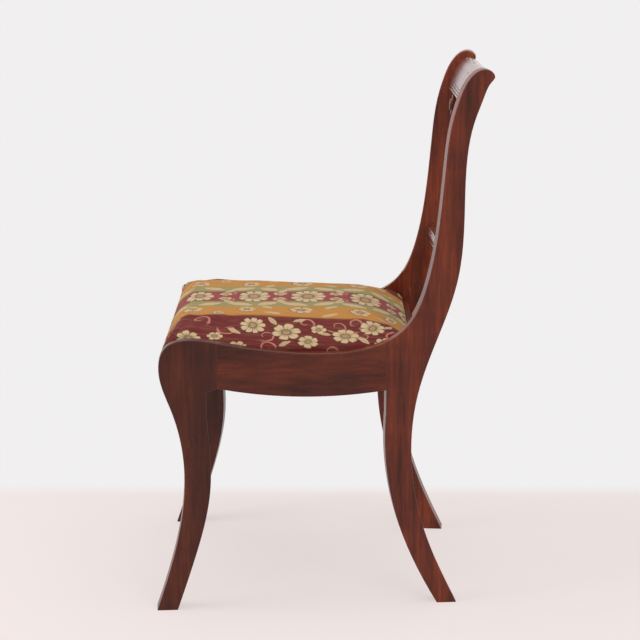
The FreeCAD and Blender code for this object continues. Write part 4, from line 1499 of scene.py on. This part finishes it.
@dataclass
class SeatUnderside:
    """Webbing, hessian, dust cloth and tacks of the drop-in seat."""

    strap_thickness: float = 0.00108
    strap_steps: int = 90
    weave_lift: float = 0.00075
    cloth_steps: int = 56
    cloth_thickness: float = 0.0007
    slack: float = 0.00005
    sag: float = 0.0012
    crease_depth: float = 0.00025
    crease_scale: float = 24.0
    rim_power: int = 6
    tack_inset: float = 0.013
    tack_pitch: float = 0.030
    tack_radius: float = 0.0028
    tack_height: float = 0.0009
    tack_sides: int = 12

    def make_webbing(self) -> bpy.types.Object:
        """Straps that pass over and under each other.

        Returns:
            The piece.
        """
        straps = loose_boxes(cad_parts["seat_webbing"])
        long_straps = [s for s in straps if s[1].y - s[0].y > s[1].x - s[0].x]
        cross_straps = [s for s in straps if s not in long_straps]
        middle = (min(s[0].z for s in straps) + max(s[1].z for s in straps)) / 2.0
        builder = bmesh.new()
        for group, others, axis in ((long_straps, cross_straps, 1), (cross_straps, long_straps, 0)):
            for number, (low, high) in enumerate(sorted(group, key=lambda s: s[0][1 - axis])):
                self._strap(builder, (low, high), others, axis, middle, number)
        mesh = mesh_from("seat_webbing_straps", builder)
        finish = PlainWeave("jute_webbing", (0.44, 0.32, 0.19), (0.17, 0.11, 0.06), 0.0024)
        piece = seat_piece("seat_webbing_straps", mesh, finish)
        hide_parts("seat_webbing")
        return piece

    def _strap(self, builder: bmesh.types.BMesh, span: tuple[Vector, Vector],
               others: list[tuple[Vector, Vector]], axis: int, middle: float, number: int) -> None:
        """Add one strap that weaves through those that cross it.

        Args:
            builder: Mesh that it is added to.
            span: Its lowest and highest corner.
            others: Corners of the straps that cross it.
            axis: Axis that it runs along.
            middle: Height of the middle of the webbing.
            number: Its place among its neighbours.
        """
        low, high = span
        centres = sorted((o[0][axis] + o[1][axis]) / 2.0 for o in others)
        pitch = centres[1] - centres[0]
        rows = []
        for step in range(self.strap_steps + 1):
            at = low[axis] + (high[axis] - low[axis]) * step / self.strap_steps
            crossed = min(range(len(centres)), key=lambda k: abs(centres[k] - at))
            side = 1.0 if (crossed + number + axis) % 2 else -1.0
            wave = math.cos(math.pi * min(abs(at - centres[crossed]) / pitch, 0.5))
            z = middle + side * self.weave_lift * wave
            row = []
            for across, up in ((0, -0.5), (0.5, -0.5), (1, -0.5), (1, 0.5), (0.5, 0.5), (0, 0.5)):
                place = [0.0, 0.0, z + up * self.strap_thickness]
                place[axis] = at
                place[1 - axis] = low[1 - axis] + (high[1 - axis] - low[1 - axis]) * across
                row.append(builder.verts.new(place))
            rows.append(row)
        for before, after in zip(rows, rows[1:]):
            join_rings(builder, before, after)
        builder.faces.new(rows[0])
        builder.faces.new(rows[-1][::-1])

    def make_hessian(self) -> bpy.types.Object:
        """Hessian laid over the webbing.

        Returns:
            The piece.
        """
        low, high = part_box("seat_hessian")
        finish = PlainWeave("hessian", (0.47, 0.35, 0.21), (0.15, 0.10, 0.055), 0.0018)
        rows = self._rows(low, high, 0.0, 0.3, 0.008)
        piece = self._cloth("seat_hessian_cloth", rows, finish)
        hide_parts("seat_hessian")
        self._size(low, high)
        return piece

    def make_dust_cloth(self) -> bpy.types.Object:
        """Dust cloth tacked under the seat.

        Returns:
            The piece.
        """
        low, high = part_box("seat_dust_cloth")
        finish = PlainWeave("dust_cloth", (0.035, 0.035, 0.038), (0.010, 0.010, 0.011),
                            0.0009, 0.0002)
        rows = self._rows(low, high, self.sag, 1.0, 0.009)
        piece = self._cloth("seat_dust_cloth_sheet", rows, finish)
        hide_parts("seat_dust_cloth")
        self._size(low, high)
        return piece

    @staticmethod
    def _size(low: Vector, high: Vector) -> tuple[float, float]:
        """Flat size of a cloth.

        Args:
            low: Lowest corner of its solid.
            high: Highest corner of its solid.

        Returns:
            Its mean width and its length.
        """
        clear = half_width_line()
        narrower = clear(low.y) - clear(high.y)
        return (high.x - low.x - narrower, high.y - low.y)

    def _rows(self, low: Vector, high: Vector, sag: float, creasing: float,
              crease_level: float) -> list[list[Point]]:
        """Top of a cloth in the room of its solid, with its middle hanging a little.

        Args:
            low: Lowest corner of the solid.
            high: Highest corner of the solid.
            sag: How far its middle hangs.
            creasing: Strength of its creases.
            crease_level: Level of the noise from which they are taken.

        Returns:
            Rows of points, from the front to the back.
        """
        clear = half_width_line()
        ledge = high.x - clear(low.y)
        rows = []
        for j in range(self.cloth_steps + 1):
            y = low.y + (high.y - low.y) * j / self.cloth_steps
            half = clear(y) + ledge
            row = []
            for i in range(self.cloth_steps + 1):
                s, t = 2.0 * i / self.cloth_steps - 1.0, 2.0 * j / self.cloth_steps - 1.0
                belly = (1.0 - s ** self.rim_power) * (1.0 - t ** self.rim_power)
                spot = Vector((s * half * self.crease_scale, y * self.crease_scale, crease_level))
                crease = noise.noise(spot) * self.crease_depth * creasing
                drop = (sag - crease) * belly
                row.append((s * half, y, high.z - self.slack - drop))
            rows.append(row)
        return rows

    def _cloth(self, name: str, rows: list[list[Point]],
               finish: Finish) -> bpy.types.Object:
        """Thin cloth with its rim closed.

        Args:
            name: Name of the piece.
            rows: Rows of points on its top.
            finish: Its finish.

        Returns:
            The piece.
        """
        builder = bmesh.new()
        rims = []
        for drop in (self.cloth_thickness, 0.0):
            sheet = [[builder.verts.new((x, y, z - drop)) for x, y, z in row] for row in rows]
            for before, after in zip(sheet, sheet[1:]):
                for i in range(self.cloth_steps):
                    builder.faces.new((before[i], before[i + 1], after[i + 1], after[i]))
            left, right = [row[0] for row in sheet], [row[-1] for row in sheet]
            rims.append(left + sheet[-1][1:] + right[-2::-1] + sheet[0][-2:0:-1])
        join_rings(builder, *rims)
        return seat_piece(name, mesh_from(name, builder), finish)

    def make_tacks(self) -> bpy.types.Object:
        """Tacks that hold the dust cloth and the cover.

        Returns:
            The piece.
        """
        low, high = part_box("seat_cover")
        clear = half_width_line()
        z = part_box("seat_dust_cloth")[0].z
        front, back = low.y + self.tack_inset, high.y - self.tack_inset
        corners = [Vector((clear(front), front, z)), Vector((clear(back), back, z)),
                   Vector((-clear(back), back, z)), Vector((-clear(front), front, z))]
        builder = bmesh.new()
        for start, end in zip(corners, corners[1:] + corners[:1]):
            count = round((end - start).length / self.tack_pitch)
            for index in range(count):
                self._tack(builder, start.lerp(end, (index + 0.5) / count))
        mesh = mesh_from("seat_tack_heads", builder)
        finish = Metal("tack_steel", (0.20, 0.20, 0.22), (0.07, 0.055, 0.045), 0.4)
        return seat_piece("seat_tack_heads", mesh, finish)

    def _tack(self, builder: bmesh.types.BMesh, place: Vector) -> None:
        """Add the domed head and shank of a tack.

        Args:
            builder: Mesh that it is added to.
            place: Where it meets the cloth.
        """
        profile = ((0.55, -0.85), (0.9, -0.45), (1.0, 0.0), (0.25, 0.15), (0.2, 6.5))
        rings = []
        for share, level in profile:
            ring = []
            for step in range(self.tack_sides):
                angle = math.tau * step / self.tack_sides
                ring.append(builder.verts.new((
                    place.x + math.cos(angle) * share * self.tack_radius,
                    place.y + math.sin(angle) * share * self.tack_radius,
                    place.z + level * self.tack_height,
                )))
            rings.append(ring)
        tip = builder.verts.new((place.x, place.y, place.z - self.tack_height))
        for index, vertex in enumerate(rings[0]):
            builder.faces.new((tip, rings[0][(index + 1) % self.tack_sides], vertex))
        for low, high in zip(rings, rings[1:]):
            join_rings(builder, low, high)
        builder.faces.new(rings[-1])


def join_rings(builder: bmesh.types.BMesh, low: Sequence[bmesh.types.BMVert],
               high: Sequence[bmesh.types.BMVert]) -> None:
    """Close the band between two rings of as many points.

    Args:
        builder: Mesh that they belong to.
        low: The one ring.
        high: The other.
    """
    for index in range(len(low)):
        beyond = (index + 1) % len(low)
        builder.faces.new((low[index], low[beyond], high[beyond], high[index]))


def loose_boxes(node: bpy.types.Object) -> list[tuple[Vector, Vector]]:
    """Corners of each separate solid in a node.

    Args:
        node: Object of the node.

    Returns:
        Lowest and highest corner of each.
    """
    builder = bmesh.new()
    builder.from_mesh(node.data)
    bmesh.ops.remove_doubles(builder, verts=builder.verts, dist=1e-6)
    left = set(builder.verts)
    boxes = []
    while left:
        group = [left.pop()]
        for vertex in group:
            for edge in vertex.link_edges:
                other = edge.other_vert(vertex)
                if other in left:
                    left.remove(other)
                    group.append(other)
        places = np.array([vertex.co for vertex in group])
        boxes.append((Vector(places.min(0)), Vector(places.max(0))))
    builder.free()
    return boxes


@dataclass
class SeatFrame:
    """Beech frame inside the seat."""

    dark: Colour = (0.40, 0.26, 0.14)
    light: Colour = (0.60, 0.45, 0.28)

    def dress(self) -> None:
        """Give the bars their wood."""
        along = BareWood("beech_along", Grain.BACK, self.dark, self.light)
        across = BareWood("beech_across", Grain.ACROSS, self.dark, self.light)
        for bar, finish in (("left", along), ("right", along), ("front", across), ("back", across)):
            dress_nodes(f"seat_bar_{bar}", finish)


@dataclass(frozen=True)
class Lamp:
    """Square soft light."""

    name: str
    place: Point
    target: Point
    size: float
    watts: float
    colour: Colour = (1.0, 1.0, 1.0)

    def switch_on(self) -> None:
        """Add the light to the scene."""
        data = bpy.data.lights.new(self.name, "AREA")
        data.shape = "SQUARE"
        data.size = self.size
        data.energy = self.watts
        data.color = self.colour
        lamp = bpy.data.objects.new(self.name, data)
        lamp.location = self.place
        aim = Vector(self.target) - Vector(self.place)
        lamp.rotation_euler = aim.to_track_quat("-Z", "Y").to_euler()
        bpy.context.scene.collection.objects.link(lamp)
        log.info("%s: %g W", self.name, self.watts)


@dataclass
class Studio:
    """Floor, light and camera, as the photograph was taken."""

    eye: Point = (3.175, 0.0058, 1.095)
    pitch: float = 12.11
    yaw: float = 0.17
    lens: float = 111.4
    sensor: float = 36.0
    floor_size: float = 36.0
    ground: StudioFloor = StudioFloor("studio_floor")
    world_level: float = 0.62
    lamps: tuple[Lamp, ...] = (
        Lamp("window", (0.6, -2.9, 2.1), (0.0, 0.0, 0.5), 1.8, 46.0, (1.0, 0.985, 0.96)),
        Lamp("ceiling", (0.2, 0.2, 3.2), (0.0, 0.0, 0.3), 2.6, 34.0),
        Lamp("room", (3.0, 1.4, 2.4), (0.0, 0.0, 0.5), 2.0, 26.0, (1.0, 0.96, 0.92)),
    )

    def build(self) -> None:
        """Make the whole surroundings of the chair."""
        self._floor()
        self._world()
        for lamp in self.lamps:
            lamp.switch_on()
        self._camera()
        bpy.context.scene.view_settings.view_transform = "Standard"

    def _floor(self) -> None:
        """Lay the floor."""
        half = self.floor_size / 2.0
        mesh = bpy.data.meshes.new("floor")
        corners = [(-half, -half, 0.0), (half, -half, 0.0), (half, half, 0.0), (-half, half, 0.0)]
        mesh.from_pydata(corners, [], [(0, 1, 2, 3)])
        mesh.materials.append(self.ground.material())
        floor = bpy.data.objects.new("floor", mesh)
        bpy.context.scene.collection.objects.link(floor)

    def _world(self) -> None:
        """Light the room evenly and show it white."""
        world = bpy.data.worlds.new("room")
        bpy.context.scene.world = world
        graph = Graph(world)
        level = seen_ray(graph) * (1.0 - self.world_level) + self.world_level
        glow = graph.node("ShaderNodeBackground", inputs={
            "Color": self.ground.wall, "Strength": level})
        graph.output(glow, "ShaderNodeOutputWorld")

    def _camera(self) -> None:
        """Stand the camera where the photograph was taken."""
        data = bpy.data.cameras.new("camera")
        data.lens = self.lens
        data.sensor_width = self.sensor
        camera = bpy.data.objects.new("camera", data)
        camera.location = self.eye
        pitch, yaw = math.radians(self.pitch), math.radians(self.yaw)
        forward = Vector((-math.cos(pitch) * math.cos(yaw), -math.cos(pitch) * math.sin(yaw),
                          -math.sin(pitch)))
        camera.rotation_euler = forward.to_track_quat("-Z", "Y").to_euler()
        bpy.context.scene.collection.objects.link(camera)
        bpy.context.scene.camera = camera


def main() -> None:
    """Build everything in order."""
    Studio().build()
    Woodwork().dress()
    SeatFrame().dress()
    cushion = SeatCushion()
    outer = cushion.finished()
    cushion.make_cover(outer)
    cushion.make_stuffing(outer)
    underside = SeatUnderside()
    underside.make_webbing()
    underside.make_hessian()
    underside.make_dust_cloth()
    underside.make_tacks()


if __name__ == "__main__":
    main()
